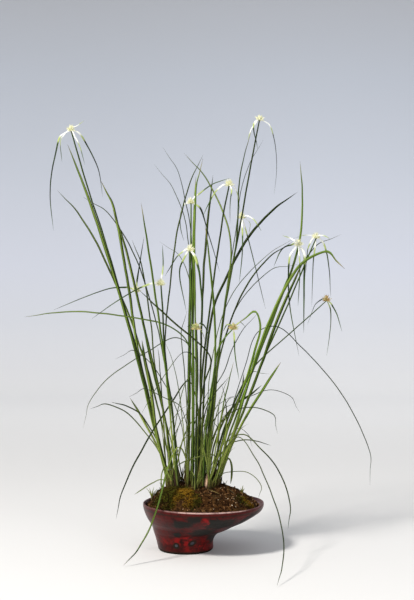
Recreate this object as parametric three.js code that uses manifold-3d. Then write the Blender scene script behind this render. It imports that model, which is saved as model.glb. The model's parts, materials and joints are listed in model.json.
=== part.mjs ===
// Potted star sedge: an offset glazed pot, its soil and moss, thirteen flowering stems and their leaves.
import * as THREE from "three";
import Module from "manifold-3d";

const wasm = await Module();
wasm.setup();

// Sizes in mm, with the origin at the middle of the pot's foot and +Z up
const gap = 0.3;
const potSides = 30;
const potFloor = 4.5;
const potWall = 2.5;
const lipHeight = 47;
// The pot's outline from the front: each height with its left and right edge
const potOutline = [
  [0, -26.6, 26.6],
  [2, -27.6, 27.4],
  [9, -29.2, 27.6],
  [13.5, -30.4, 29.4],
  [18, -31.8, 34],
  [21, -32.6, 41.5],
  [25.5, -34, 50.5],
  [30, -37, 60.5],
  [35, -39.8, 69],
  [40, -41.8, 76],
  [44, -42.7, 78.2],
];
const soilRim = 44.5;
const soilRise = 20;
const soilPeak = [6, 0];
const soilLump = 0.7;
const mossHeight = 2.4;
const stemWidth = 1.5;
const bractWidth = 2.2;
const clusterRadius = 4.5;
const clusterUnder = 1.6;
const spikeletLength = 4.6;
const sheathHeight = 15;
const sheathRadius = 1.7;
const bladesApart = 0.6;
const sectionTurn = 0.35;
const sheathClear = 6;

// The plant is drawn at full size on an upright sheet that stands on the foot's axis, in mm across and
// down from the sheet's top left corner. Every point lies on the line of sight of an eye in front of it.
const sheet = { footAcross: 185.75, groundDown: 549, eyeAcross: 207, eyeDown: 300, eyeDistance: 1150 };
const eyeX = sheet.eyeAcross - sheet.footAcross;
const eyeZ = sheet.groundDown - sheet.eyeDown;

function onSight(across, down, depth) {
  const spread = (sheet.eyeDistance + depth) / sheet.eyeDistance;
  const x = eyeX + (across - sheet.eyeAcross) * spread;
  const z = eyeZ - (down - sheet.eyeDown) * spread;
  return new THREE.Vector3(x, depth, z);
}

function toSheet(x, y, z) {
  const spread = (sheet.eyeDistance + y) / sheet.eyeDistance;
  const across = sheet.eyeAcross + (x - eyeX) / spread;
  const down = sheet.eyeDown - (z - eyeZ) / spread;
  return new THREE.Vector3(across, down, y);
}

// Solids from rings of points
function ringFaces(rings, sides, faces) {
  for (let ring = 0; ring < rings - 1; ring++) {
    for (let side = 0; side < sides; side++) {
      const a = ring * sides + side;
      const b = ring * sides + ((side + 1) % sides);
      faces.push(a, b, b + sides, a, b + sides, a + sides);
    }
  }
}

function ringSolid(rings, first, last) {
  const sides = rings[0].length;
  const points = rings.flat();
  const faces = [];
  ringFaces(rings.length, sides, faces);
  if (first) {
    const pole = points.push(first) - 1;
    for (let side = 0; side < sides; side++) faces.push(pole, (side + 1) % sides, side);
  }
  if (last) {
    const pole = points.push(last) - 1;
    const start = (rings.length - 1) * sides;
    for (let side = 0; side < sides; side++) faces.push(pole, start + side, start + ((side + 1) % sides));
  }
  return { points, faces };
}

function manifoldOf({ points, faces }) {
  const vertProperties = new Float32Array(points.flatMap((p) => [p.x, p.y, p.z]));
  return new wasm.Manifold(new wasm.Mesh({ numProp: 3, vertProperties, triVerts: new Uint32Array(faces) }));
}

function geometryOf(solid) {
  const mesh = solid.getMesh();
  const geometry = new THREE.BufferGeometry();
  geometry.setAttribute("position", new THREE.BufferAttribute(new Float32Array(mesh.vertProperties), 3));
  geometry.setIndex(new THREE.BufferAttribute(new Uint32Array(mesh.triVerts), 1));
  geometry.computeVertexNormals();
  return geometry;
}

// The pot: circles whose middles move to the right as they rise
function potCircle(height) {
  const last = potOutline.length - 1;
  const z = THREE.MathUtils.clamp(height, 0, potOutline[last][0]);
  const above = Math.max(1, potOutline.findIndex(([level]) => level >= z));
  const [z0, left0, right0] = potOutline[above - 1];
  const [z1, left1, right1] = potOutline[above];
  const t = (z - z0) / (z1 - z0);
  const left = THREE.MathUtils.lerp(left0, left1, t);
  const right = THREE.MathUtils.lerp(right0, right1, t);
  return { middle: (left + right) / 2, radius: (right - left) / 2 };
}

function circleRing(middle, radius, z, sides) {
  const ring = [];
  for (let side = 0; side < sides; side++) {
    const turn = (2 * Math.PI * side) / sides;
    ring.push(new THREE.Vector3(middle + radius * Math.cos(turn), radius * Math.sin(turn), z));
  }
  return ring;
}

// The hollow is the outer form moved up by the floor's thickness and in by the wall's
function hollowCircle(height, clearance = 0) {
  const { middle, radius } = potCircle(height - potFloor - clearance);
  return { middle, radius: radius - potWall - clearance };
}

const hollowHeights = [42, 34, 27, 19, 8];

function potSolid() {
  const rings = potOutline.map(([z]) => {
    const { middle, radius } = potCircle(z);
    return circleRing(middle, radius, z, potSides);
  });
  const rim = potCircle(lipHeight);
  rings.push(circleRing(rim.middle, rim.radius, lipHeight - 1.2, potSides));
  rings.push(circleRing(rim.middle, rim.radius - 0.9, lipHeight, potSides));
  rings.push(circleRing(rim.middle, rim.radius - 2, lipHeight, potSides));
  for (const z of hollowHeights) {
    const { middle, radius } = hollowCircle(z);
    rings.push(circleRing(middle, radius, z, potSides));
  }
  const floor = hollowCircle(hollowHeights.at(-1));
  const floorMiddle = new THREE.Vector3(floor.middle, 0, hollowHeights.at(-1) - gap);
  return ringSolid(rings, new THREE.Vector3(0, 0, 0), floorMiddle);
}

// The soil: it fills the hollow and rises in a lumpy mound whose top is left of the rim's middle
function soilLevel(share, x, y) {
  const broad = Math.sin(x * 0.37 + y * 0.21) * Math.sin(y * 0.33 - x * 0.12);
  const lump = broad + 0.6 * Math.sin(x * 0.9 + y * 0.7);
  return soilRim + soilRise * (1 - Math.pow(share, 3.2)) + soilLump * lump * (1 - Math.pow(share, 4));
}

function soilSolid() {
  const rings = [];
  for (const z of hollowHeights.toReversed()) {
    const { middle, radius } = hollowCircle(z, gap);
    rings.push(circleRing(middle, radius, z, potSides));
  }
  const edge = hollowCircle(soilRim, gap);
  for (const share of [1, 0.92, 0.82, 0.68, 0.52, 0.34, 0.16]) {
    const ring = circleRing(edge.middle, edge.radius, 0, potSides).map((p) => {
      const x = THREE.MathUtils.lerp(soilPeak[0], p.x, share);
      const y = THREE.MathUtils.lerp(soilPeak[1], p.y, share);
      return new THREE.Vector3(x, y, soilLevel(share, x, y));
    });
    rings.push(ring);
  }
  const bottom = hollowCircle(hollowHeights.at(-1), gap);
  const first = new THREE.Vector3(bottom.middle, 0, hollowHeights.at(-1));
  const last = new THREE.Vector3(soilPeak[0], soilPeak[1], soilLevel(0, ...soilPeak));
  return ringSolid(rings, first, last);
}

const soil = manifoldOf(soilSolid());
const soilMesh = new THREE.Mesh(geometryOf(soil), new THREE.MeshBasicMaterial({ side: THREE.DoubleSide }));
const probe = new THREE.Raycaster();

function groundAt(x, y) {
  probe.set(new THREE.Vector3(x, y, 200), new THREE.Vector3(0, 0, -1));
  const hits = probe.intersectObject(soilMesh);
  return hits.length ? hits[0].point.z : 0;
}

// The highest soil under a root as wide as a sheath
function groundUnder(x, y) {
  const r = sheathRadius;
  return Math.max(...[[0, 0], [r, 0], [-r, 0], [0, r], [0, -r]].map(([dx, dy]) => groundAt(x + dx, y + dy)));
}

// A moss cushion that lies on the mound, domed and thin at its edge
function mossSolid({ x, y, halfAcross, halfDeep, turn }) {
  const sides = 14;
  const along = new THREE.Vector2(Math.cos(turn), Math.sin(turn));
  const place = (share, side, lift) => {
    const angle = (2 * Math.PI * side) / sides;
    const wave = 1 + 0.1 * Math.sin(3 * angle) + 0.07 * Math.sin(5 * angle + 1);
    const a = halfAcross * share * wave * Math.cos(angle);
    const d = halfDeep * share * wave * Math.sin(angle);
    const px = x + a * along.x - d * along.y;
    const py = y + a * along.y + d * along.x;
    return new THREE.Vector3(px, py, groundAt(px, py) + lift);
  };
  const ring = (share, lift) => Array.from({ length: sides }, (_, side) => place(share, side, lift));
  const dome = (share) => 0.7 + mossHeight * Math.sqrt(1 - share * share);
  const sunk = -2;
  const below = [ring(0.5, sunk), ring(1, sunk)];
  const rings = [...below, ring(1, dome(1)), ring(0.85, dome(0.85)), ring(0.5, dome(0.5))];
  const cushion = manifoldOf(ringSolid(rings, place(0, 0, sunk), place(0, 0, dome(0))));
  return cushion.subtract(soil.translate([0, 0, gap]));
}

// Blades: three-sided pieces that taper along a route. A leaf has a keel below, a stem has three equal sides.
const leafShare = (s) => (0.75 + 0.25 * Math.min(1, 3 * s)) * (1 - s ** 7);
const bractShare = (s) => (0.6 + 0.4 * Math.max(0, 1 - 3 * s)) * (1 - s) ** 0.45;
const forms = {
  leaf: { half: 0.5, lift: 0.12, drop: 0.22, width: leafShare },
  stem: { half: 0.5, lift: 0.29, drop: 0.58, width: (s) => 1 - 0.35 * s },
  bract: { half: 0.5, lift: 0.14, drop: 0.14, width: bractShare },
};

// The route on the sheet, with the depth of each point worked out from the root's and the tip's where it
// isn't given: a blade leaves the root upright and leans more and more.
function stationsOf({ root, seen, tipDepth, steps, lean = 1.4 }) {
  const route = [root, ...seen.map(([across, down, depth]) => new THREE.Vector3(across, down, depth ?? NaN))];
  const reach = [0];
  for (let i = 1; i < route.length; i++) {
    const step = Math.hypot(route[i].x - route[i - 1].x, route[i].y - route[i - 1].y);
    reach.push(reach[i - 1] + step);
  }
  route.forEach((point, i) => {
    const share = (reach[i] / reach.at(-1)) ** lean;
    if (Number.isNaN(point.z)) point.z = THREE.MathUtils.lerp(root.z, tipDepth, share);
  });
  return new THREE.CatmullRomCurve3(route, false, "centripetal").getSpacedPoints(steps);
}

// The three-cornered rings of a blade from its root, and the point that it ends in
function bladeRings({ form, width, stations, turn, twist, flatRoot }) {
  const { half, lift, drop, width: share } = forms[form];
  const points = stations.map((p) => onSight(p.x, p.y, p.z));
  const last = points.length - 1;
  let side = null;
  let lastAlong = null;
  const rings = points.slice(0, last).map((point, i) => {
    const before = points[Math.max(0, i - 1)];
    const upright = flatRoot && i === 0;
    const along = upright ? new THREE.Vector3(0, 0, 1) : points[i + 1].clone().sub(before).normalize();
    const facing = turn + (twist * i) / last;
    const face = new THREE.Vector3(Math.sin(facing), -Math.cos(facing), 0.6).normalize();
    const across = new THREE.Vector3().crossVectors(along, face).normalize();
    if (side) {
      // the section turns with the bend, and then a little towards the way it should face
      side.applyQuaternion(new THREE.Quaternion().setFromUnitVectors(lastAlong, along));
      if (across.dot(side) < 0) across.negate();
      side.lerp(across, Math.min(0.5, sectionTurn / Math.max(0.01, side.angleTo(across)))).normalize();
    } else {
      side = across;
    }
    lastAlong = along;
    const up = new THREE.Vector3().crossVectors(side, along);
    const w = width * share(i / last);
    const corner = (a, n) => point.clone().addScaledVector(side, a * w).addScaledVector(up, n * w);
    return [corner(half, lift), corner(0, -drop), corner(-half, lift)];
  });
  return { rings, tip: points[last] };
}

function bladeSolid(blade) {
  const { rings, tip } = bladeRings(blade);
  const { points, faces } = ringSolid(rings, null, tip);
  faces.push(0, 2, 1);
  return manifoldOf({ points, faces });
}

// The side faces between a three-cornered face and a ring, with the quads cut along one diagonal or the other
const wallOf = (from, to, flip) =>
  [[0, 1], [1, 2], [2, 0]].flatMap(([i, j]) =>
    flip
      ? [[from[i], from[j], to[i]], [from[j], to[j], to[i]]]
      : [[from[i], from[j], to[j]], [from[i], to[j], to[i]]],
  );

// How well such a wall stands clear of itself: its least outward lean, below 0 where it is folded
function openness(points, wall) {
  const corners = wall.map((face) => face.map((point) => points[point]));
  const total = corners.flat().reduce((sum, p) => sum.add(p), new THREE.Vector3());
  const middle = total.divideScalar(3 * corners.length);
  return Math.min(
    ...corners.map(([a, b, c]) => {
      const normal = new THREE.Vector3().crossVectors(b.clone().sub(a), c.clone().sub(a)).normalize();
      return normal.dot(a.clone().sub(middle));
    }),
  );
}

// The best way to start a blade on a face: which corners meet, and which diagonal is cut
function bestStart(points, face, ring) {
  const all = [...face.map((point) => points[point]), ...ring];
  const starts = [0, 1, 2].flatMap((k) =>
    [false, true].map((flip) => {
      const corners = [0, 1, 2].map((i) => (i + k) % 3);
      const open = openness(all, wallOf(corners, [3, 4, 5], flip));
      return { from: corners.map((i) => face[i]), flip, open };
    }),
  );
  return starts.sort((a, b) => b.open - a.open)[0];
}

// The same solid with blades drawn out of its faces: each row of blades holds its face and the rings to reach
function grownSolid({ points, faces }, grown) {
  const kept = [];
  for (let i = 0; i < faces.length; i += 3) kept.push(faces.slice(i, i + 3));
  const free = kept.filter((_, i) => !grown.some(({ face }) => face === i));
  for (const { face, rings, tip } of grown) {
    let { from, flip } = bestStart(points, kept[face], rings[0]);
    for (const ring of rings) {
      const to = ring.map((point) => points.push(point) - 1);
      free.push(...wallOf(from, to, flip));
      from = to;
      flip = false;
    }
    const end = points.push(tip) - 1;
    for (const [i, j] of [[0, 1], [1, 2], [2, 0]]) free.push([from[i], from[j], end]);
  }
  return manifoldOf({ points, faces: free.flat() });
}

// The part of a blade that is further than clear from a place
function outerBlade(blade, place, clear) {
  const { rings, tip } = bladeRings(blade);
  const start = Math.max(1, rings.findIndex((ring) => ring[1].distanceTo(place) > clear));
  const outer = rings.slice(start);
  return { rings: outer, tip, way: (outer[0]?.[1] ?? tip).clone().sub(place) };
}

// Leaves. root is the place on the soil, seen holds the route's points on the front sheet (across, down and,
// where it matters, depth), and tipDepth is how far the tip stands behind the foot's axis, or before it.
const leaves = {
  leaf_left_1: {
    root: [-17, -4],
    blades: [
      { width: 2.7, tipDepth: -25, seen: [[156, 436], [127, 320], [92, 208], [76.5, 166], [67.4, 144]] },
    ],
  },
  leaf_left_2: {
    root: [-14.5, 2],
    blades: [
      {
        width: 2.6,
        tipDepth: 12,
        seen: [[158, 436], [139, 355], [126.5, 276], [114.5, 210], [107, 190], [100.5, 180]],
      },
    ],
  },
  leaf_left_3: {
    root: [-9, -12],
    blades: [{ width: 2.4, tipDepth: -70, seen: [[165, 366], [153, 283], [148, 250], [141, 202.5]] }],
  },
  leaf_left_4: {
    root: [4.5, -3],
    blades: [
      {
        width: 1.8,
        tipDepth: -55,
        seen: [
          [192, 430],
          [192, 380],
          [188, 345],
          [181, 330],
          [155, 322],
          [124, 316],
          [91, 312],
          [61, 312],
          [24.6, 317],
        ],
      },
    ],
  },
  leaf_left_5: {
    root: [3, 5],
    blades: [
      {
        width: 1.3,
        tipDepth: 30,
        seen: [
          [190, 430],
          [190, 370],
          [186, 334],
          [166, 342.5],
          [129, 363],
          [95.5, 391],
          [87, 409],
          [83, 428],
        ],
      },
    ],
  },
  leaf_left_6: {
    root: [11, -11],
    blades: [
      {
        width: 1.8,
        tipDepth: -62,
        seen: [[200.5, 398], [210.5, 360], [205, 348.5], [187, 334], [167, 316], [139, 290]],
      },
    ],
  },
  leaf_left_7: {
    root: [10, -7],
    blades: [
      {
        width: 1.8,
        tipDepth: -35,
        seen: [
          [198, 430],
          [195, 390],
          [187, 380],
          [169, 407],
          [149, 437],
          [124, 487],
          [117.5, 508],
          [116, 519],
        ],
      },
    ],
  },
  leaf_front: {
    root: [2, -17],
    blades: [
      {
        width: 2.3,
        tipDepth: -77,
        seen: [
          [186, 455, -22],
          [181, 446, -27],
          [174, 452, -33],
          [164, 484, -43],
          [158, 506, -51],
          [151.5, 525, -59],
          [142, 543.5, -65],
          [131.5, 558, -71],
          [123, 566, -77.5],
        ],
      },
    ],
  },
  leaf_middle_1: {
    root: [6.5, 14],
    blades: [{ width: 2.4, tipDepth: 75, seen: [[193, 318], [194, 220], [196, 176.5]] }],
  },
  leaf_middle_2: {
    root: [18, 5],
    blades: [
      {
        width: 2.2,
        tipDepth: 30,
        seen: [[213, 400], [224.5, 310], [231.5, 240], [227, 223], [210, 184], [197, 167], [184, 153]],
      },
    ],
  },
  leaf_right_1: {
    root: [21, -6],
    blades: [{ width: 2.3, tipDepth: -30, seen: [[223, 320], [237, 235], [240, 176], [252, 128]] }],
  },
  leaf_right_2: {
    root: [27.5, 6.5],
    blades: [
      { width: 2.6, tipDepth: 25, seen: [[240, 405], [280, 300], [297.5, 252], [303, 201], [300, 161]] },
    ],
  },
  leaf_right_3: {
    root: [14.5, 7],
    blades: [
      {
        width: 2.5,
        tipDepth: 55,
        seen: [[207, 350], [214.5, 305], [231.5, 267], [252, 232], [283, 201], [297.5, 192]],
      },
    ],
  },
  leaf_right_4: {
    root: [25.5, -6.5],
    blades: [
      {
        width: 3,
        tipDepth: -50,
        seen: [[231, 440], [257, 354], [275, 308], [299.5, 265.5], [322, 251.5], [332, 253.5], [345, 269]],
      },
    ],
  },
  leaf_right_5: {
    root: [22.5, -4],
    blades: [
      {
        width: 2.9,
        tipDepth: -15,
        seen: [
          [224, 440],
          [249.5, 369.5],
          [262, 322],
          [263, 313.5],
          [258, 310.5],
          [248, 315.5],
          [236, 324.5],
        ],
      },
    ],
  },
  leaf_right_6: {
    root: [24.5, 0],
    blades: [
      {
        width: 1.2,
        tipDepth: -15,
        seen: [
          [225, 430],
          [254, 340],
          [263, 321],
          [269, 320],
          [276, 325],
          [300.5, 346],
          [329.5, 377.5],
          [351.5, 410],
          [367, 443],
          [371.5, 461],
          [370, 485],
        ],
      },
    ],
  },
  leaf_right_7: {
    root: [28, -10.5],
    blades: [
      {
        width: 1.4,
        tipDepth: -152,
        seen: [
          [223, 455, -14],
          [234, 436, -18],
          [243, 441, -24],
          [257, 461, -34],
          [268, 485, -48],
          [277, 510, -66],
          [282, 529, -86],
          [284, 552, -112],
          [280.5, 575, -137],
          [277, 586, -152],
        ],
      },
    ],
  },
  shoot_left_1: {
    root: [-11, 9],
    blades: [
      { width: 2.1, tipDepth: 35, seen: [[156, 400], [133, 326], [94, 238], [76, 210], [57, 190]] },
      {
        width: 1.5,
        tipDepth: 60,
        seen: [[164, 360], [150, 300], [138, 263.5], [127, 241], [114, 219], [99.5, 206], [83, 197]],
      },
    ],
  },
  shoot_left_2: {
    root: [-4.5, 12],
    blades: [
      { width: 1.7, tipDepth: 85, seen: [[158, 384], [148, 301], [139, 256], [132, 240]] },
      {
        width: 1.7,
        tipDepth: 40,
        seen: [[169.5, 394], [165, 340], [169, 297], [177, 233], [192, 177], [203, 155]],
      },
    ],
  },
  shoot_left_3: {
    root: [-13, -9],
    sheath: 4.5,
    blades: [
      { width: 2.3, tipDepth: -45, seen: [[165, 420], [142, 318], [125, 246], [113, 210]] },
      { width: 3, tipDepth: -40, seen: [[160, 449], [150.5, 388.5], [144, 356], [142, 340]] },
      { width: 1.4, tipDepth: -24, seen: [[166, 479.5], [160.5, 479.5], [148, 485], [134.5, 494.5]] },
      { width: 1.6, tipDepth: -44, seen: [[168, 465], [163, 469.5], [161.5, 480], [161, 490]] },
    ],
  },
  shoot_left_4: {
    root: [-18, 3],
    sheath: 7,
    blades: [
      { width: 2.1, tipDepth: 28, seen: [[165, 465], [158, 448], [139.5, 413], [130, 398]] },
      { width: 1.6, tipDepth: -25, seen: [[156, 439], [146, 422], [137, 410.5], [129.5, 407], [111, 402]] },
      {
        width: 1.5,
        tipDepth: 48,
        seen: [[161, 455], [140, 426], [127, 413], [110, 404], [95.5, 406], [89.5, 409]],
      },
    ],
  },
  shoot_middle_1: {
    root: [3.5, -9],
    blades: [
      {
        width: 1.1,
        tipDepth: -20,
        seen: [[180, 420], [159, 375], [145, 357], [131, 350], [120.5, 354], [115.5, 359]],
      },
      {
        width: 1.1,
        tipDepth: -60,
        seen: [[185, 417], [177, 403], [157, 395], [145, 388.5], [137, 390.5], [129, 397]],
      },
      { width: 1.3, tipDepth: 12, seen: [[187, 408], [181.5, 338], [181, 327.5], [183, 319], [187, 311]] },
      {
        width: 1.4,
        tipDepth: -78,
        seen: [[196, 420], [196, 370], [191.5, 346], [180, 355.5], [159, 384], [141.5, 413.5]],
      },
    ],
  },
  shoot_middle_2: {
    root: [0, 6],
    blades: [
      { width: 1.3, tipDepth: 70, seen: [[188.5, 340], [188, 238], [180, 203], [171.5, 186], [154, 164]] },
      { width: 1.4, tipDepth: 22, seen: [[191, 330], [190, 224], [181, 184], [176.5, 167], [163, 147.5]] },
      {
        width: 1.3,
        tipDepth: 92,
        seen: [[189, 340], [187.5, 270], [179, 255], [165, 243], [159.5, 241.5]],
      },
    ],
  },
  shoot_middle_3: {
    root: [14.5, 12],
    blades: [
      { width: 2.2, tipDepth: 50, seen: [[202, 310], [206, 242], [213, 175]] },
      { width: 1.6, tipDepth: 82, seen: [[204, 408], [221, 377], [239, 335], [258, 313]] },
      {
        width: 1.3,
        tipDepth: 5,
        seen: [[206, 430], [212, 360], [227, 305], [254, 267], [282, 244.5], [294.5, 238]],
      },
    ],
  },
  shoot_middle_4: {
    root: [12, -14],
    blades: [
      { width: 1.8, tipDepth: -75, seen: [[195, 300], [194.5, 240], [198, 172], [203, 158]] },
      {
        width: 2.3,
        tipDepth: -88,
        seen: [[203, 450], [213, 387], [215, 340], [212.5, 291], [208, 249], [205, 225]],
      },
      { width: 1.6, tipDepth: -50, seen: [[205, 425], [211, 400], [229, 377]] },
    ],
  },
  shoot_right_1: {
    root: [21, 10],
    blades: [
      { width: 1.4, tipDepth: 45, seen: [[222, 330], [237, 220], [241, 189], [247, 169], [264, 138.5]] },
      { width: 1.8, tipDepth: 75, seen: [[211, 400], [225, 338], [248, 283], [276, 251], [293, 241.5]] },
      { width: 2.1, tipDepth: 60, seen: [[216, 440], [233.5, 406], [243, 400.5], [262, 385]] },
      {
        width: 1.4,
        tipDepth: 34,
        seen: [[212, 445], [225, 415], [243, 400], [271, 390], [285, 393], [298.5, 404], [300, 413]],
      },
    ],
  },
  shoot_right_2: {
    root: [24, -12],
    blades: [
      {
        width: 1.3,
        tipDepth: -50,
        seen: [[213, 440], [228, 414], [242, 409], [266, 409], [275.5, 418], [277.5, 434]],
      },
      {
        width: 1.1,
        tipDepth: -72,
        seen: [[214, 400], [224, 340], [240, 302], [263, 276], [277, 267], [298, 264.5]],
      },
      { width: 1.8, tipDepth: -60, seen: [[213, 465], [217, 440], [224, 401], [233.5, 362]] },
      {
        width: 1.5,
        tipDepth: -45,
        seen: [[215.5, 452, -22], [207, 456, -29], [193, 458, -34], [179, 464.5, -40], [173.5, 468, -44]],
      },
    ],
  },
  shoot_right_3: {
    root: [29.5, 1.5],
    blades: [
      { width: 2.8, tipDepth: 10, seen: [[231, 441], [256, 379], [281, 310], [301, 267]] },
      { width: 1.5, tipDepth: 36, seen: [[236, 430], [272, 335], [301, 266], [316, 246], [341, 234.5]] },
      { width: 2.5, tipDepth: -35, seen: [[237, 434], [252, 407], [281, 362]] },
    ],
  },
  shoot_right_4: {
    root: [31, -4],
    sheath: 8,
    blades: [
      {
        width: 1.5,
        tipDepth: -42,
        seen: [
          [225, 448],
          [233, 433],
          [240, 432.5],
          [254, 442],
          [268, 456.5],
          [281, 475],
          [288, 494],
          [290.5, 512],
          [288, 529],
        ],
      },
      { width: 1.4, tipDepth: 30, seen: [[222, 452], [234, 442], [254, 440.5], [271, 445.5]] },
      { width: 1.1, tipDepth: -66, seen: [[228, 430], [244, 388], [252.5, 372], [260, 370], [269, 374]] },
    ],
  },
  shoot_right_5: {
    root: [33, 6],
    sheath: 11,
    blades: [
      {
        width: 1,
        tipDepth: 4,
        seen: [[222, 474], [232.5, 471.5], [250, 473.5], [262, 488], [258.5, 498]],
      },
      { width: 2.1, tipDepth: 0, seen: [[223, 471], [227, 459], [229.5, 457.5], [232, 467], [230.5, 484]] },
      { width: 2.1, tipDepth: 50, seen: [[222, 445], [232, 415], [243, 385], [244, 373]] },
      { width: 1, tipDepth: 64, seen: [[232, 432], [243, 428], [247, 432.5], [250.5, 439], [252.5, 448]] },
    ],
  },
};

// Flowering stems, with the bracts of each head as they leave its cluster
const flowers = [
  {
    root: [-14.5, -2],
    tipDepth: -10,
    seen: [[157.5, 435], [142.3, 371], [121.8, 299], [104, 238], [86.3, 183.7], [70.5, 128.6]],
    bracts: [
      { tipDepth: -28, seen: [[61.8, 133], [55.4, 153.5], [50, 190], [53.5, 230.5]] },
      { tipDepth: 14, seen: [[61, 139], [62, 162]] },
      { tipDepth: 22, seen: [[78, 131.5], [90.5, 152], [99, 172], [102.5, 197]] },
      { tipDepth: -18, seen: [[79.3, 145], [85, 165]] },
      { tipDepth: 8, seen: [[78, 125], [84.2, 120.5]] },
    ],
  },
  {
    root: [16, -1],
    tipDepth: 15,
    seen: [[216, 373], [228.8, 284], [243.2, 208], [253.2, 151.5], [259.8, 118]],
    bracts: [
      { tipDepth: 30, seen: [[269, 123.5], [275, 143], [276.8, 168], [274, 194.5]] },
      { tipDepth: -18, seen: [[253.5, 124], [256.5, 143], [257.7, 150]] },
      { tipDepth: 5, seen: [[251.5, 129], [248, 140]] },
    ],
  },
  {
    root: [12, -6],
    tipDepth: -50,
    seen: [[202, 375], [211, 300], [223, 216], [229.5, 183.5]],
    bracts: [
      { tipDepth: -78, seen: [[231.5, 187], [230, 203], [230, 224]] },
      { tipDepth: -35, seen: [[236, 189], [240.4, 214]] },
      { tipDepth: -62, seen: [[218.6, 188], [209, 203], [203, 216]] },
    ],
  },
  {
    root: [2.5, 10],
    tipDepth: 60,
    seen: [[189, 380], [190.5, 283], [191, 201]],
    bracts: [
      { tipDepth: 72, seen: [[199, 194], [213, 184], [230.5, 178]] },
      { tipDepth: 40, seen: [[199.5, 207], [209, 236], [219.6, 271.6]] },
      { tipDepth: 78, seen: [[183, 206], [180, 225], [184, 241]] },
    ],
  },
  {
    root: [20, 5],
    tipDepth: 38,
    seen: [[216, 375], [225, 305], [236.5, 245], [242, 216]],
    bracts: [
      { tipDepth: 24, seen: [[251, 217], [261.4, 231]] },
      { tipDepth: 52, seen: [[247.7, 236], [259.6, 284], [265.6, 309]] },
      { tipDepth: 18, seen: [[242.5, 249], [239.3, 283]] },
      { tipDepth: 58, seen: [[250, 223], [248.4, 235]] },
    ],
  },
  {
    root: [7, -12],
    tipDepth: -65,
    seen: [[193.5, 370], [191.5, 300], [190, 248.5]],
    bracts: [
      { tipDepth: -78, seen: [[180, 253], [165, 276]] },
      { width: 3.2, tipDepth: -84, seen: [[197, 261], [201, 290], [202.5, 322]] },
      { tipDepth: -48, seen: [[180, 268], [186.3, 312]] },
    ],
  },
  {
    root: [-7.5, -8],
    tipDepth: -45,
    seen: [[171, 401], [165.4, 366], [162.5, 311], [160.7, 282.8]],
    bracts: [
      { tipDepth: -58, seen: [[146, 285], [120, 299], [91.4, 319]] },
      { tipDepth: -30, seen: [[163, 266], [162.5, 245]] },
    ],
  },
  {
    root: [-11.5, 4.5],
    tipDepth: 35,
    seen: [[165, 420], [151.4, 365], [142, 318], [136, 289.5]],
    bracts: [
      { tipDepth: 46, seen: [[139, 268], [144, 237]] },
      { tipDepth: 26, seen: [[118, 287], [86, 296.5], [53.7, 310]] },
    ],
  },
  {
    root: [26.5, -2],
    tipDepth: -35,
    seen: [[236, 425], [253, 365], [277, 303], [291, 271], [299, 243]],
    bracts: [
      { width: 3.2, tipDepth: -50, seen: [[304, 252], [304, 283], [303.6, 333]] },
      { tipDepth: -22, seen: [[291, 252], [289, 297], [299, 356]] },
      { tipDepth: -66, seen: [[300, 270], [298, 306]] },
      { tipDepth: -40, seen: [[290, 238], [282, 235.5]] },
      { tipDepth: -56, seen: [[283, 248], [273.7, 267]] },
    ],
  },
  {
    root: [26, 11],
    tipDepth: 14,
    seen: [[236, 430], [258, 372], [284, 313], [301, 273], [317, 236]],
    bracts: [
      { tipDepth: 26, seen: [[324, 244], [329, 269], [330.7, 297]] },
      { tipDepth: -8, seen: [[309.5, 244], [306, 272.5]] },
      { tipDepth: 34, seen: [[313.5, 258], [311.6, 307]] },
      { tipDepth: 0, seen: [[324, 235.5], [330, 239]] },
      { tipDepth: 22, seen: [[305, 235], [294, 238.5]] },
    ],
  },
  {
    root: [24.5, 14],
    tipDepth: 45,
    seen: [[222, 435], [239, 392], [255, 365.4], [277.7, 344.4], [311.6, 314], [328, 299.3]],
    bracts: [
      { tipDepth: 56, seen: [[331, 312], [330, 333], [326.6, 356]] },
      { tipDepth: 34, seen: [[336, 312], [342, 331.5]] },
      { tipDepth: 66, seen: [[318, 301], [307, 325]] },
    ],
  },
  {
    root: [17, -11],
    tipDepth: -70,
    seen: [[206, 430], [213.5, 375], [220, 345], [234.2, 327.5]],
    bracts: [
      { tipDepth: -84, seen: [[234.5, 350], [239, 380]] },
      { tipDepth: -60, seen: [[240, 322], [246, 328]] },
      { tipDepth: -78, seen: [[228, 324], [223, 332]] },
    ],
  },
  {
    root: [9.5, -15],
    tipDepth: -80,
    seen: [[196.5, 405], [197.5, 375], [196.3, 327]],
    bracts: [
      { tipDepth: -88, seen: [[192, 324.5], [187, 327]] },
      { tipDepth: -70, seen: [[201, 330], [205.4, 341]] },
      { tipDepth: -94, seen: [[202, 323], [210, 338]] },
    ],
  },
];

// Every blade of the plant, ready to be spread in depth
const blades = [];
const golden = 2.4;

function addBlade(blade) {
  const index = blades.length;
  const swing = Math.sin(index * golden);
  const made = { turn: 0.7 * swing, twist: 1.1 * Math.cos(index * golden * 1.7), ...blade };
  made.stations = stationsOf(made);
  blades.push(made);
  return made;
}

function rootOnSheet([x, y]) {
  return toSheet(x, y, groundUnder(x, y) + gap);
}

function sheetLength(root, seen) {
  const route = [[root.x, root.y], ...seen];
  return route.slice(1).reduce((sum, p, i) => sum + Math.hypot(p[0] - route[i][0], p[1] - route[i][1]), 0);
}

for (const [node, { root, sheath = sheathHeight, blades: own }] of Object.entries(leaves)) {
  for (const [place, blade] of own.entries()) {
    const offset = bladesApart * (place - (own.length - 1) / 2);
    const start = rootOnSheet([root[0] + offset, root[1] - 0.3 * offset]);
    const steps = Math.round(THREE.MathUtils.clamp(4 + sheetLength(start, blade.seen) / 44, 6, 12));
    const seen = blade.seen.map((p) => [...p]);
    const grown = { form: "leaf", flatRoot: true, sheath: own.length > 1 && sheath };
    addBlade({ ...blade, ...grown, node, root: start, seen, steps });
  }
}

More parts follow.
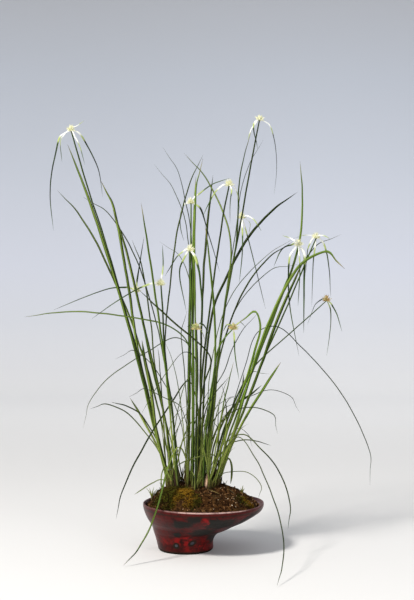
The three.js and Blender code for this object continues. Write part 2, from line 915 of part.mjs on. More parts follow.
flowers.forEach((flower, index) => {
  const number = index + 1;
  const start = rootOnSheet(flower.root);
  const stem = { form: "stem", width: stemWidth, steps: 11, flatRoot: true, lean: 1.3 };
  addBlade({ ...stem, node: "stem_" + number, root: start, seen: flower.seen, tipDepth: flower.tipDepth });
  const [across, down] = flower.seen.at(-1);
  const head = new THREE.Vector3(across, down, flower.tipDepth);
  for (const bract of flower.bracts) {
    const steps = Math.round(THREE.MathUtils.clamp(3 + sheetLength(head, bract.seen) / 24, 4, 7));
    const shape = { lean: 0.9, form: "bract", steps, width: bractWidth, ...bract };
    addBlade({ ...shape, node: "flower_head_" + number, root: head.clone(), head: number });
  }
});

// Where two blades cross as seen from the front, one passes behind the other: their stations are moved apart
// along the line of sight, in small steps that keep each blade smooth.
const samplesPerStep = 10;
const rounds = 320;
const rootReach = 18;

function samplesOf(blade) {
  const samples = [];
  for (let i = 0; i < blade.stations.length - 1; i++) {
    for (let k = 0; k < samplesPerStep; k++) {
      const t = k / samplesPerStep;
      const from = blade.stations[i];
      const to = blade.stations[i + 1];
      samples.push({ i, t, x: from.x + (to.x - from.x) * t, y: from.y + (to.y - from.y) * t });
    }
  }
  return samples;
}

function depthAt({ stations }, { i, t }) {
  return stations[i].z * (1 - t) + stations[i + 1].z * t;
}

function roomAt(blade, sample) {
  const base = blade.sheath && sample.i === 0 ? 3.4 : blade.width * (blade.form === "stem" ? 1 : 0.9);
  return base / 2;
}

function nearRoot({ stations }, sample) {
  return Math.hypot(sample.x - stations[0].x, sample.y - stations[0].y) < rootReach;
}

function crossingsOf(a, b) {
  const found = [];
  const together = a.node === b.node || (a.form === "stem" && b.head && a.node === "stem_" + b.head);
  a.samples.forEach((p, ip) => {
    b.samples.forEach((q, iq) => {
      if (together && (a.head || b.head ? iq < samplesPerStep * 0.5 : nearRoot(a, p))) return;
      const room = roomAt(a, p) + roomAt(b, q) + 0.7;
      const close = Math.abs(p.x - q.x) < room + 1.2 && Math.hypot(p.x - q.x, p.y - q.y) < room + 1.2;
      if (close) found.push({ p, q, ip, room });
    });
  });
  return found;
}

function crossingGroups(a, b) {
  const groups = [];
  for (const crossing of crossingsOf(a, b)) {
    const group = groups.at(-1);
    if (group && crossing.ip - group.at(-1).ip < 4) group.push(crossing);
    else groups.push([crossing]);
  }
  return groups.map((crossings) => {
    const lead = crossings.reduce((sum, { p, q }) => sum + depthAt(a, p) - depthAt(b, q), 0);
    return { a, b, crossings, order: lead >= 0 ? 1 : -1 };
  });
}

function pushApart(blade, { i, t }, move) {
  blade.stations[i].z += move * (1 - t);
  blade.stations[i + 1].z += move * t;
}

function smoothShift(blade) {
  const shift = blade.stations.map((station, i) => station.z - blade.start[i]);
  blade.stations.forEach((station, i) => {
    const before = shift[Math.max(0, i - 1)];
    const after = shift[Math.min(shift.length - 1, i + 1)];
    station.z = blade.start[i] + 0.9 * shift[i] + 0.05 * (before + after);
  });
}

function shareRoots(group) {
  const moved = group.reduce((sum, blade) => sum + blade.stations[0].z - blade.start[0], 0) / group.length;
  for (const blade of group) blade.stations[0].z = blade.start[0] + moved;
}

for (const blade of blades) {
  blade.samples = samplesOf(blade);
  blade.start = blade.stations.map((station) => station.z);
}
const groups = blades.flatMap((a, i) => blades.slice(i + 1).flatMap((b) => crossingGroups(a, b)));
const byNode = Object.values(Object.groupBy(blades, ({ node }) => node));
for (let round = 0; round < rounds; round++) {
  for (const { a, b, crossings, order } of groups) {
    for (const { p, q, room } of crossings) {
      const lack = room - order * (depthAt(a, p) - depthAt(b, q));
      if (lack <= 0) continue;
      pushApart(a, p, 0.2 * order * lack);
      pushApart(b, q, -0.2 * order * lack);
    }
  }
  byNode.forEach(shareRoots);
  if (round < rounds - 60) blades.forEach(smoothShift);
}

// Roots go back onto the soil after the spreading, and heads follow their stems
function settleRoot(blade) {
  const root = onSight(blade.stations[0].x, blade.stations[0].y, blade.stations[0].z);
  blade.stations[0] = rootOnSheet([root.x, root.y]);
}

function headPlace(number) {
  const { stations } = blades.find(({ node }) => node === "stem_" + number);
  return stations.at(-1).clone();
}

// A shoot: the leaves grow out of the top of one sheath, each from the side of the top that it lies on
function ordersOf(list) {
  if (list.length < 2) return [list];
  return list.flatMap((one, i) => ordersOf(list.toSpliced(i, 1)).map((rest) => [one, ...rest]));
}

function shootSolid(own) {
  const middle = (share) => {
    const sum = new THREE.Vector3();
    for (const { stations } of own) {
      sum.add(onSight(...stations[0].clone().lerp(stations[1], share).toArray()));
    }
    return sum.divideScalar(own.length);
  };
  const root = middle(0);
  const height = own[0].sheath;
  const lean = middle(0.4).sub(root).setZ(0).clampLength(0, 0.2 * height);
  const top = root.clone().add(lean).setZ(root.z + height);
  const sides = own.length === 2 ? 4 : own.length;
  const outer = own.map((blade) => outerBlade(blade, top, sheathClear));
  const ways = outer.map(({ way }) => new THREE.Vector2(way.x, way.y));
  const mean = ways.reduce((sum, way) => sum.add(way), new THREE.Vector2()).divideScalar(ways.length);
  const places = Array.from({ length: sides }, (_, side) => side);
  const baseAt = (phase) => {
    const ring = (radius, centre) =>
      places.map((side) => {
        const turn = (2 * Math.PI * (side + phase)) / sides;
        return new THREE.Vector3(radius * Math.cos(turn), radius * Math.sin(turn), 0).add(centre);
      });
    const shoulder = top.clone().setZ(top.z - 0.8);
    return ringSolid([ring(sheathRadius, root), ring(0.75 * sheathRadius, shoulder)], root, top);
  };
  const tries = [0, 0.125, 0.25, 0.375, 0.5, 0.625, 0.75, 0.875].flatMap((phase) => {
    const base = baseAt(phase);
    return ordersOf(places).map((order) => {
      let score = 0;
      outer.forEach(({ way, rings, tip }, i) => {
        const turn = (2 * Math.PI * (order[i] + 0.5 + phase)) / sides;
        const first = 3 * (3 * sides + order[i]);
        const start = bestStart(base.points, base.faces.slice(first, first + 3), rings[0] ?? [tip, tip, tip]);
        score += (way.x - mean.x) * Math.cos(turn) + (way.y - mean.y) * Math.sin(turn);
        score += 20 * Math.min(0.1, start.open);
      });
      return { score, order, base };
    });
  });
  const { order, base } = tries.sort((a, b) => b.score - a.score)[0];
  return grownSolid(base, outer.map((blade, i) => ({ face: 3 * sides + order[i], ...blade })));
}

// A flower head: a rounded cluster with a rim of spikelet tips, and its bracts drawn out of the sides
function headSolid(own, centre) {
  const corners = 10;
  const ring = (radius, z, crownRadius = radius, crownZ = z) =>
    Array.from({ length: corners }, (_, k) => {
      const turn = (2 * Math.PI * k) / corners + 0.3;
      const r = k % 2 ? crownRadius : radius;
      return new THREE.Vector3(r * Math.cos(turn), r * Math.sin(turn), k % 2 ? crownZ : z).add(centre);
    });
  const below = new THREE.Vector3(0, 0, -clusterUnder).add(centre);
  const top = new THREE.Vector3(0, 0, spikeletLength).add(centre);
  const crown = ring(0.55 * clusterRadius, 2.6, 0.8 * clusterRadius, 3.4);
  const rings = [ring(1.9, -0.9), ring(0.75 * clusterRadius, 0.8), crown];
  const base = ringSolid(rings, below, top);
  const outer = own.map((blade) => outerBlade(blade, centre, clusterRadius));
  const faceAt = (_, face) => base.faces.slice(3 * face, 3 * face + 3);
  const sideFaces = Array.from({ length: 4 * corners }, faceAt);
  const taken = new Set();
  const grown = outer.map((blade) => {
    const starts = sideFaces.map((corner, face) => {
      const [a, b, c] = corner.map((point) => base.points[point]);
      const lies = blade.way.angleTo(new THREE.Vector3().crossVectors(b.clone().sub(a), c.clone().sub(a)));
      const { open } = bestStart(base.points, corner, blade.rings[0]);
      return { face, score: Math.min(0.1, open) - 0.15 * lies };
    });
    const { face } = starts.filter((start) => !taken.has(start.face)).sort((a, b) => b.score - a.score)[0];
    taken.add(face);
    return { face, ...blade };
  });
  return grownSolid(base, grown);
}

// Colours
const finishes = {
  glaze: new THREE.MeshStandardMaterial({ color: 0x5e1218, roughness: 0.35, metalness: 0 }),
  soil: new THREE.MeshStandardMaterial({ color: 0x3a2416, roughness: 1, metalness: 0 }),
  moss: new THREE.MeshStandardMaterial({ color: 0x5f5a1c, roughness: 1, metalness: 0 }),
  leaf: new THREE.MeshStandardMaterial({ color: 0x4a6b32, roughness: 0.5, metalness: 0 }),
  stem: new THREE.MeshStandardMaterial({ color: 0x6f9448, roughness: 0.5, metalness: 0 }),
  flower: new THREE.MeshStandardMaterial({ color: 0xe6e6c8, roughness: 0.6, metalness: 0 }),
};

const plant = new THREE.Group();

function addPiece(name, solid, finish) {
  const mesh = new THREE.Mesh(geometryOf(solid), finishes[finish].clone());
  mesh.name = name;
  plant.add(mesh);
}

addPiece("pot", manifoldOf(potSolid()), "glaze");
addPiece("soil", soil, "soil");
addPiece("moss", mossSolid({ x: -10, y: -27, halfAcross: 19, halfDeep: 10, turn: -0.5 }), "moss");

for (const own of byNode) {
  const [{ node, form, head, stations }] = own;
  if (form === "bract") {
    const place = headPlace(head);
    for (const blade of own) blade.stations[0] = place.clone();
    addPiece(node, headSolid(own, onSight(place.x, place.y, place.z)), "flower");
    continue;
  }
  own.forEach(settleRoot);
  if (form === "stem") {
    const step = stations.at(-1).distanceTo(stations.at(-2));
    const drawnBack = (clusterUnder + gap) / step;
    stations[stations.length - 1] = stations.at(-1).clone().lerp(stations.at(-2), drawnBack);
    addPiece(node, bladeSolid(own[0]), "stem");
    continue;
  }
  addPiece(node, own.length > 1 ? shootSolid(own) : bladeSolid(own[0]), "leaf");
}

export default plant;
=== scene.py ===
# Potted star sedge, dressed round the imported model
import json
import random
from math import cos, exp, pi, radians, sin

import bmesh
import bpy
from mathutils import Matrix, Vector, noise
from mathutils.bvhtree import BVHTree

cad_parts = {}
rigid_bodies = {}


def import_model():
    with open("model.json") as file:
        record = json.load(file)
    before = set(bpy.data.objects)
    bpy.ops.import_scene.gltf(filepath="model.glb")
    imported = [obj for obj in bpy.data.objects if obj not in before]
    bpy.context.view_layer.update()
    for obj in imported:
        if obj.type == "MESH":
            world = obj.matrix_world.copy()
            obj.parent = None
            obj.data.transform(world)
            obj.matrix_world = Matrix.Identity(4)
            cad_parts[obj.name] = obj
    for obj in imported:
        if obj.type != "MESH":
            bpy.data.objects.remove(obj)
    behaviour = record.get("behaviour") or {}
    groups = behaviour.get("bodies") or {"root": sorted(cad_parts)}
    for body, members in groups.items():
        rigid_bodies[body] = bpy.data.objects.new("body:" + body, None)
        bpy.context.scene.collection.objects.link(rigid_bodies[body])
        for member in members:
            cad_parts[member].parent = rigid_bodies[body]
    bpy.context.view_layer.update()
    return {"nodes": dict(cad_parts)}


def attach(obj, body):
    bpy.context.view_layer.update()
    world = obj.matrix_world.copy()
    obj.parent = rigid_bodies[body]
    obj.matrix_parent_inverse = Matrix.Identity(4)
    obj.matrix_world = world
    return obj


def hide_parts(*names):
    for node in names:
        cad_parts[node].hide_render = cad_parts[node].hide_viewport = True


for startObject in list(bpy.data.objects):
    bpy.data.objects.remove(startObject)

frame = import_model()
cadNodes = frame["nodes"]
mm = 0.001
fullTurn = 2 * pi
seeds = {"leaves": 11, "stems": 12, "heads": 13, "litter": 14, "young": 15}
print("frame loaded:", len(cadNodes), "nodes")

# A level camera, a little over a metre in front of the pot
view = {"place": (0.02125, -1.15, 0.249), "lens": 69, "sensor": 36}


def metres(*rows):
    return [tuple(value * mm for value in row) for row in rows]


def newMesh(name, places, edges, faces):
    mesh = bpy.data.meshes.new(name)
    mesh.from_pydata(places, edges, faces)
    mesh.shade_smooth()
    return mesh


def addValues(mesh, label, values, kind="FLOAT"):
    made = mesh.attributes.new(label, kind, "POINT")
    made.data.foreach_set("value" if kind == "FLOAT" else "vector", values)


def newObject(name, data):
    made = bpy.data.objects.new(name, data)
    bpy.context.scene.collection.objects.link(made)
    return made


def addCamera():
    lens = bpy.data.cameras.new("camera")
    lens.lens, lens.sensor_width, lens.sensor_fit = view["lens"], view["sensor"], "AUTO"
    camera = newObject("camera", lens)
    camera.location = view["place"]
    camera.rotation_euler = (radians(90), 0, 0)
    bpy.context.scene.camera = camera


addCamera()


# One class for shader and geometry sockets, so that maths on them can be written as Python
class Wire:
    def __init__(self, maker, socket):
        self.maker = maker
        self.socket = socket

    def maths(self, operation, *values):
        return self.maker.add("ShaderNodeMath", {"operation": operation}, *values)

    def clamped(self):
        return self.maker.add("ShaderNodeClamp", self)

    # 0 below low, 1 above high and a soft slope between them
    def between(self, low, high):
        settings = {"interpolation_type": "SMOOTHSTEP"}
        return self.maker.add("ShaderNodeMapRange", settings, Value=self, From_Min=low, From_Max=high)


def forwards(operation):
    return lambda *wires: wires[0].maths(operation, *wires)


def reflected(operation):
    return lambda wire, other: wire.maths(operation, other, wire)


for word, kind in (("add", "ADD"), ("sub", "SUBTRACT"), ("mul", "MULTIPLY"), ("truediv", "DIVIDE")):
    setattr(Wire, "__" + word + "__", forwards(kind))
    setattr(Wire, "__r" + word + "__", reflected(kind))
Wire.__abs__, Wire.__lt__, Wire.__gt__ = map(forwards, ("ABSOLUTE", "LESS_THAN", "GREATER_THAN"))
Wire.least, Wire.most, Wire.sine, Wire.cosine = map(forwards, ("MINIMUM", "MAXIMUM", "SINE", "COSINE"))


class Maker:
    def __init__(self, tree, material=None):
        self.tree = tree
        self.material = material
        self.family = "ShaderNode" if material else "GeometryNode"

    def plug(self, socket, value):
        if isinstance(value, Wire):
            self.tree.links.new(value.socket, socket)
        else:
            socket.default_value = value

    # One way to add any node: its settings, if any, then its sockets in order or by name
    def node(self, kind, *values, **named):
        made = self.tree.nodes.new(kind if "Node" in kind else self.family + kind)
        if values and isinstance(values[0], dict):
            for name, value in values[0].items():
                setattr(made, name, value)
            values = values[1:]
        for key, value in [*enumerate(values), *named.items()]:
            self.plug(made.inputs[key if isinstance(key, int) else key.replace("_", " ")], value)
        return made

    def add(self, kind, *values, out=0, **named):
        return Wire(self, self.node(kind, *values, **named).outputs[out])

    def ramp(self, value, stops):
        made = self.node("ValToRGB", value)
        colours = made.color_ramp.elements
        while len(colours) < len(stops):
            colours.new(0.5)
        for stop, (place, colour) in zip(colours, stops):
            stop.position, stop.color = place, (*colour, 1)
        return Wire(self, made.outputs[0])

    def mixed(self, share, first, second):
        made = self.node("Mix", {"data_type": "RGBA"}, share)
        for index, value in ((6, first), (7, second)):
            self.plug(made.inputs[index], value if isinstance(value, Wire) else (*value, 1))
        return Wire(self, made.outputs[2])

    # Lays colours over each other, each by its share: colours of the table by name, or made ones
    def layered(self, table, base, *layers):
        colour = table.get(base, base)
        for share, over in layers:
            colour = self.mixed(share, colour, table.get(over, over))
        return colour

    def scaled(self, vector, scale):
        return self.add("ShaderNodeVectorMath", {"operation": "SCALE"}, Vector=vector, Scale=scale)

    def noise(self, place, scale, detail=3, rough=0.55):
        return self.add("ShaderNodeTexNoise", Vector=place, Scale=scale, Detail=detail, Roughness=rough)

    def place(self):
        return self.add("TexCoord", out="Object")

    def apart(self, place):
        return [Wire(self, socket) for socket in self.node("ShaderNodeSeparateXYZ", place).outputs]

    def together(self, x, y, z):
        return self.add("ShaderNodeCombineXYZ", x, y, z)

    def attribute(self, name):
        return self.add("Attribute", {"attribute_name": name}, out="Fac")

    def named(self, name, kind="FLOAT"):
        return self.add("InputNamedAttribute", {"data_type": kind}, name)

    def stored(self, geometry, name, value, domain="POINT"):
        settings = {"data_type": "FLOAT", "domain": domain}
        return self.add("StoreNamedAttribute", settings, Geometry=geometry, Name=name, Value=value)

    def joined(self, *parts):
        made = self.node("JoinGeometry")
        for part in parts:
            self.plug(made.inputs[0], part)
        return Wire(self, made.outputs[0])

    def finished(self, geometry, material):
        return self.add("SetMaterial", Geometry=geometry, Material=material)

    # The bump is a height, a strength and a distance
    def dressed(self, colour, rough, bump=None, gloss=0.5, **more):
        if bump:
            more["Normal"] = self.add("Bump", Height=bump[0], Strength=bump[1], Distance=bump[2])
        more |= {"Base_Color": colour, "Roughness": rough, "Specular_IOR_Level": gloss}
        self.node("OutputMaterial", Surface=self.add("BsdfPrincipled", **more))
        return self.material


def newMaterial(name):
    material = bpy.data.materials.new(name)
    material.use_nodes = True
    material.node_tree.nodes.clear()
    return Maker(material.node_tree, material)


def addPiece(name, mesh, nodes=(), material=None):
    piece = newObject(name, mesh)
    if material:
        mesh.materials.append(material)
    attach(piece, "root")
    if nodes:
        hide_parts(*nodes)


def cadNamed(*starts):
    return sorted(name for name in cadNodes if name.startswith(starts))


# The blades of a CAD node: rings of three corners that start behind a pointed tip
blade = {
    "together": 2e-6,
    "sharp": 2.0,  # a tip stands at least this many ring widths from its first ring
    "keelShare": 0.647,
    "footDepth": 0.0006,  # what lies this near the lowest corner belongs to the foot
    "poleEdges": 10,  # edges that meet at either pole of a packed cluster
    "swayScale": 38.0, "swayFade": 8, "tipWidth": 0.0001,
}
zero, right, up = Vector((0, 0, 0)), Vector((1, 0, 0)), Vector((0, 0, 1))


def mergedCopy(name):
    shape = bmesh.new()
    shape.from_mesh(cadNodes[name].data)
    bmesh.ops.remove_doubles(shape, verts=shape.verts, dist=blade["together"])
    shape.verts.index_update()
    return shape


def nextRing(ring, seen):
    return {edge.other_vert(v) for v in ring for edge in v.link_edges} - seen


def ringLine(ring, form):
    a, b, c = (v.co.copy() for v in sorted(ring, key=lambda v: v.index))
    if form == "stem":
        return {"place": (a + b + c) / 3, "side": None, "width": (a - b).length}
    pairs = [((a - b).length, a, b, c), ((b - c).length, b, c, a), ((c - a).length, c, a, b)]
    width, left, right, keel = max(pairs, key=lambda pair: pair[0])
    middle = (left + right) / 2
    place = keel.lerp(middle, blade["keelShare"]) if form == "leaf" else (left + right + keel * 2) / 4
    side, fold = (right - left).normalized(), (middle - keel).normalized()
    return {"place": place, "side": side, "width": width, "fold": fold}


# Each ring's side is turned so that the fold opens away from the keel
def faceUpwards(rings, tip):
    places = [ring["place"] for ring in rings] + [tip.copy()]
    for index, ring in enumerate(rings):
        along = places[index + 1] - places[index]
        if ring["side"].cross(along).dot(ring["fold"]) < 0:
            ring["side"].negate()
        if index and ring["side"].dot(rings[index - 1]["side"]) < 0:
            ring["side"].negate()


def tracedBlades(name, form):
    shape = mergedCopy(name)
    blades = []
    taken = set()
    for tip in shape.verts:
        ring = nextRing([tip], {tip})
        if len(tip.link_edges) != 3 or len(ring) != 3:
            continue
        corners = [v.co for v in ring]
        size = max((corners[i] - corners[i - 1]).length for i in range(3))
        if (sum(corners, zero) / 3 - tip.co).length < blade["sharp"] * size:
            continue
        rings = []
        seen = {tip}
        while len(ring) == 3:
            rings.append(ringLine(ring, form))
            seen |= ring
            last = ring
            ring = nextRing(ring, seen)
        taken |= seen
        if ring:
            rings.pop()  # that ring belongs to the sheath or the flower cluster
            taken -= last
        rings.reverse()
        if form != "stem":
            faceUpwards(rings, tip.co)
        blades.append({"rings": rings, "tip": tip.co.copy(), "grown": bool(ring)})
    # what no blade took is the sheath or the cluster
    rest = [v.co for v in shape.verts if v not in taken] or [v.co for v in shape.verts]
    low = min(co.z for co in rest)
    foot = [co for co in rest if co.z < low + blade["footDepth"]]
    base = sum(foot, zero) / len(foot)
    poles = [v.co.copy() for v in shape.verts if len(v.link_edges) == blade["poleEdges"]]
    poles.sort(key=lambda co: co.z)
    shape.free()
    blades.sort(key=lambda one: (round(one["tip"].x, 5), round(one["tip"].z, 5)))
    return blades, base, poles


# Geometry Nodes: a tree with named inputs, and the plain piece that it makes of a source mesh
def newTree(name, inputs):
    tree = bpy.data.node_groups.new(name, "GeometryNodeTree")
    tree.interface.new_socket("Geometry", in_out="INPUT", socket_type="NodeSocketGeometry")
    ids = {}
    for label, value in inputs.items():
        kind = "Material" if value is None else "Int" if isinstance(value, int) else "Float"
        socket = tree.interface.new_socket(label, in_out="INPUT", socket_type="NodeSocket" + kind)
        if value is not None:
            socket.default_value = value
        ids[label] = socket.identifier
    tree.interface.new_socket("Geometry", in_out="OUTPUT", socket_type="NodeSocketGeometry")
    maker = Maker(tree)
    start = maker.node("NodeGroupInput")
    wires = {socket.name: Wire(maker, socket) for socket in start.outputs if socket.name}
    return (tree, ids), maker, wires


def endTree(maker, geometry):
    realized = maker.add("RealizeInstances", geometry)
    maker.node("NodeGroupOutput", maker.add("SetShadeSmooth", realized))


def addGrown(name, source, treeAndIds, values, nodes=()):
    tree, ids = treeAndIds
    carrier = newObject("carrier", source)
    modifier = carrier.modifiers.new("grow", "NODES")
    modifier.node_group = tree
    for label, value in values.items():
        modifier[ids[label]] = value
    graph = bpy.context.evaluated_depsgraph_get()
    grown = carrier.evaluated_get(graph)
    mesh = bpy.data.meshes.new_from_object(grown, preserve_all_data_layers=True, depsgraph=graph)
    carrier.modifiers.clear()
    bpy.data.objects.remove(carrier)
    bpy.data.meshes.remove(source)
    addPiece(name, mesh, nodes)


# A blade follows a smooth line through its stations. Its section is a ring that is flattened and folded for a
# leaf, or drawn out to three ridges for a stem.
bladeInputs = {
    "Step": 0.003, "Corners": 12, "Fold": 0.32, "Thickness": 0.09, "Keel": 0.08, "Ridge": 0.0,
    "Sway": 0.0016,
    "Material": None,
}


def bladeSkin(maker, wires):
    lines = maker.add("MeshToCurve", wires["Geometry"])
    smooth = maker.add("CurveSplineType", {"spline_type": "CATMULL_ROM"}, lines)
    fine = maker.add("SetSplineResolution", Geometry=smooth, Resolution=8)
    spaced = maker.add("ResampleCurve", {"mode": "LENGTH"}, Curve=fine, Length=wires["Step"])
    along, reach = (maker.add("SplineParameter", out=index) for index in (0, 1))
    spaced = maker.stored(maker.stored(spaced, "along", along), "reach", reach)
    place = maker.add("InputPosition")
    wander = maker.add("ShaderNodeTexNoise", Vector=place, Scale=blade["swayScale"], Detail=1.0, out="Color")
    centred = maker.add("ShaderNodeVectorMath", {"operation": "SUBTRACT"}, wander, (0.5, 0.5, 0.5))
    fade = (along * blade["swayFade"]).least((1 - along) * blade["swayFade"]).clamped()
    sway = maker.scaled(centred, fade * wires["Sway"])
    spaced = maker.add("SetPosition", Geometry=spaced, Offset=sway)
    side = maker.named("bladeSide", "FLOAT_VECTOR")
    facing = maker.add("SetCurveNormal", {"mode": "FREE"}, Curve=spaced, Normal=side)
    ring = maker.add("CurvePrimitiveCircle", Resolution=wires["Corners"], Radius=0.5)
    turn = maker.add("SplineParameter") * fullTurn
    ridge = 1 + wires["Ridge"] * (turn * 3).cosine()
    x, y = turn.cosine() * 0.5 * ridge, turn.sine() * 0.5 * ridge
    apart = abs(x) * 2
    keel = wires["Keel"] * (1 - apart * 4).clamped() * (y < 0)
    height = wires["Fold"] * (apart - 0.5) + y * wires["Thickness"] - keel
    ring = maker.stored(ring, "across", x + 0.5)
    ring = maker.add("SetPosition", Geometry=ring, Position=maker.together(x, height, 0.0))
    sockets = {"Curve": facing, "Profile_Curve": ring, "Scale": maker.named("bladeWidth"), "Fill_Caps": True}
    return maker.finished(maker.add("CurveToMesh", **sockets), wires["Material"])


def bladeTree():
    made, maker, wires = newTree("blades", bladeInputs)
    endTree(maker, bladeSkin(maker, wires))
    return made


# The blades' stations as one mesh of lines, root first
def stationMesh(name, lines):
    places, edges, widths, sides, tones = [], [], [], [], []
    for line in lines:
        for index, (place, side, width) in enumerate(line["stations"]):
            if index:
                edges.append((len(places) - 1, len(places)))
            places.append(place)
            widths.append(width)
            sides.extend(side)
            tones.append(line["tone"])
    mesh = newMesh(name, places, edges, [])
    addValues(mesh, "bladeWidth", widths)
    addValues(mesh, "bladeTone", tones)
    addValues(mesh, "bladeSide", sides, "FLOAT_VECTOR")
    return mesh


def addBlades(name, lines, values, nodes=()):
    addGrown(name, stationMesh(name, lines), bladesTree, values, nodes)


bladesTree = bladeTree()
print("trees ready")

# Greens, from the base of a blade to its tip; light is a painted highlight green
leafGreen = {
    "deep": (0.004, 0.013, 0.0015),
    "fresh": (0.105, 0.215, 0.012),
    "light": (0.50, 0.63, 0.13),
    "yellow": (0.48, 0.49, 0.13),
    "straw": (0.38, 0.28, 0.11),
    "brown": (0.070, 0.034, 0.013),
}
# blades that catch the sun, from 0 to 1, by group and number: painted sunlight that lightens their colour
sunlit = {
    "leaf": {"front": 0.55},
    "leaf_left": {"1": 0.5, "2": 0.45, "3": 0.95, "7": 0.1},
    "leaf_middle": {"2": 0.35},
    "leaf_right": {"1": 0.75, "2": 0.7, "3": 0.15, "4": 0.95, "5": 0.8, "6": 0.1, "7": 0.2},
    "shoot_left": {"1": 0.15, "2": 0.85, "3": 0.6},
    "shoot_middle": {"1": 0.6, "4": 0.9},
    "shoot_right": {"2": 0.8, "3": 0.7, "4": 0.05, "5": 0.1},
    "stem": {"1": 0.4, "2": 0.2, "5": 0.9, "6": 0.8, "9": 0.9, "12": 0.9, "13": 0.3},
}


def sunOn(name, tone):
    group, _, number = name.rpartition("_")
    return sunlit.get(group, {}).get(number, tone)


def leafMaterial():
    maker = newMaterial("leafGreen")
    along, reach, across, tone = map(maker.attribute, ("along", "reach", "across", "bladeTone"))
    streak = maker.noise(maker.together(across * 9, along * 3, tone * 40), 1.0, 2)
    patch = maker.noise(maker.place(), 26, 2)
    rib = (1 - abs(across - 0.5) * 14).clamped()
    foot = (1 - reach.between(0.02, 0.11)) * (0.1 + streak.between(0.42, 0.6) * 0.75) * (0.5 + tone * 0.5)
    colour = maker.layered(
        leafGreen,
        "deep",
        # painted sunlight: blades that catch the sun are fresher green
        ((patch * 0.5 + tone * 1.6 - 0.6 - along * 0.25).clamped(), "fresh"),
        # painted highlight: sunlit streaks in the light green, stronger on blades that catch the sun
        (streak.between(0.48, 0.64) * (0.15 + tone * 0.65), "light"),
        # the midrib, paler in itself, with a painted highlight along it
        (rib * (0.2 + tone * 0.4), "light"),
        # painted shade: one half of the folded blade darker, as if turned from the light, less on sunlit blades
        (across.between(0.42, 0.58) * (1 - tone * 0.4), "deep"),
        # the foot, yellowish in itself, with a painted highlight on sunlit blades
        (foot, maker.mixed(tone, leafGreen["light"], leafGreen["yellow"])),
        ((1 - (reach + (streak - 0.5) * 0.02).between(0.0, 0.014)) * 0.85, "brown"),
        (along.between(0.93, 1.0) * tone.between(0.3, 0.9) * 0.8, "straw"),
        (along.between(0.975, 1.0) * tone.between(0.2, 0.5), "brown"),
    )
    veins = (across * 75).sine() * 0.5 + streak * 0.8
    return maker.dressed(colour, 0.42 + patch * 0.16, (veins, 0.25, 0.0002), 0.09)


def stemMaterial():
    maker = newMaterial("stemGreen")
    along, across, tone = map(maker.attribute, ("along", "across", "bladeTone"))
    patch = maker.noise(maker.place(), 22, 2)
    grooves = (across * 60).sine()
    colour = maker.layered(
        leafGreen,
        "deep",
        # painted sunlight: stems that catch the sun are fresher green
        ((patch * 0.8 + tone - 0.62).clamped(), "fresh"),
        ((1 - along.between(0.0, 0.10)) * 0.5, "yellow"),
        ((1 - along.between(0.0, 0.03)) * 0.8, "brown"),
        # the ridges, paler in themselves, with a painted highlight along them
        (grooves.between(0.2, 1.0) * 0.28, "light"),
        # painted shade: one side of the stem darker, as if turned from the light
        (across.between(0.4, 0.6) * 0.85, "deep"),
    )
    return maker.dressed(colour, 0.45 + patch * 0.12, (grooves, 0.2, 0.0002), 0.15)


stemSection = {"Step": 0.004, "Fold": 0.0, "Thickness": 1.0, "Keel": 0.0, "Ridge": 0.12, "Sway": 0.001}
# How the leaf bases of one shoot stand in a fan inside their sheath
fan = {"apart": 0.0011, "stagger": 0.4, "closer": 0.8, "high": 0.004, "sunk": 0.0015}
# a blade's width against its widest CAD ring: at its root, its gain up to the tip and how late it tapers, and
# where its last station stands between the last ring and the tip
fuller = {"root": 0.66, "gain": 0.58, "slimmest": 0.0010, "broadest": 0.0022, "late": 14, "last": 0.55}
stemWidth = {"all": 1.5, "root": 1.2, "tip": 0.85}
# a thin blade is darker, each blade faces the front a little more than its CAD rings do, and its place in the
# clump, that is how much sun it catches, painted into its colour, says most of its tone
slimLook = {"below": 0.0017, "tone": 0.4, "turned": 0.45}
bySun = 0.75
# blades that are slimmer than their CAD rings
narrowed = {"leaf_middle_2": 0.85}
rootPlaces = []


def fullWidth(widest, share):
    slim, broad = fuller["slimmest"], fuller["broadest"]
    gain = fuller["gain"] * min(1.0, max(0.25, (widest - slim) / (broad - slim)))
    return widest * (fuller["root"] + gain * share) * (1 - share ** fuller["late"])


def turnedSide(side):
    return Vector((side.x, side.y * slimLook["turned"], side.z)).normalized()


def leafStations(one, base, index, blades, widest):
    rings = one["rings"]
    spots = [(ring["place"], ring["side"]) for ring in rings]
    side = rings[0]["side"]
    if one["grown"]:
        apart = Vector((index - (blades - 1) / 2, fan["stagger"] * (index % 2), 0)) * fan["apart"]
        spots.insert(0, (base + apart + up * fan["high"], side))
        spots.insert(0, (base + apart * fan["closer"] - up * fan["sunk"], side))
    else:
        spots[0] = (spots[0][0] - up * fan["sunk"], side)
    rootPlaces.append((spots[0][0], spots[1][0] - spots[0][0]))
    count = len(spots)
    stations = []
    for k, (spot, side) in enumerate(spots):
        stations.append((spot, turnedSide(side), fullWidth(widest, k / count)))
    side = stations[-1][1]
    last = rings[-1]["place"].lerp(one["tip"], fuller["last"])
    stations.append((last, side, fullWidth(widest, 1 - (1 - fuller["last"]) / count)))
    stations.append((one["tip"], side, blade["tipWidth"]))
    return stations


def makeLeaves():
    chance = random.Random(seeds["leaves"])
    for name in cadNamed("leaf", "shoot"):
        found, base, _ = tracedBlades(name, "leaf")
        lines = []
        for index, one in enumerate(found):
            widest = max(ring["width"] for ring in one["rings"]) * narrowed.get(name, 1)
            stations = leafStations(one, base, index, len(found), widest)
            tone = chance.random()
            tone = tone * (1 - bySun) + sunOn(name, tone) * bySun
            if widest < slimLook["below"]:
                tone *= slimLook["tone"]
            lines.append({"stations": stations, "tone": tone})
        addBlades(name + "_green", lines, {"Material": leafFinish}, [name])
    print("leaves made")


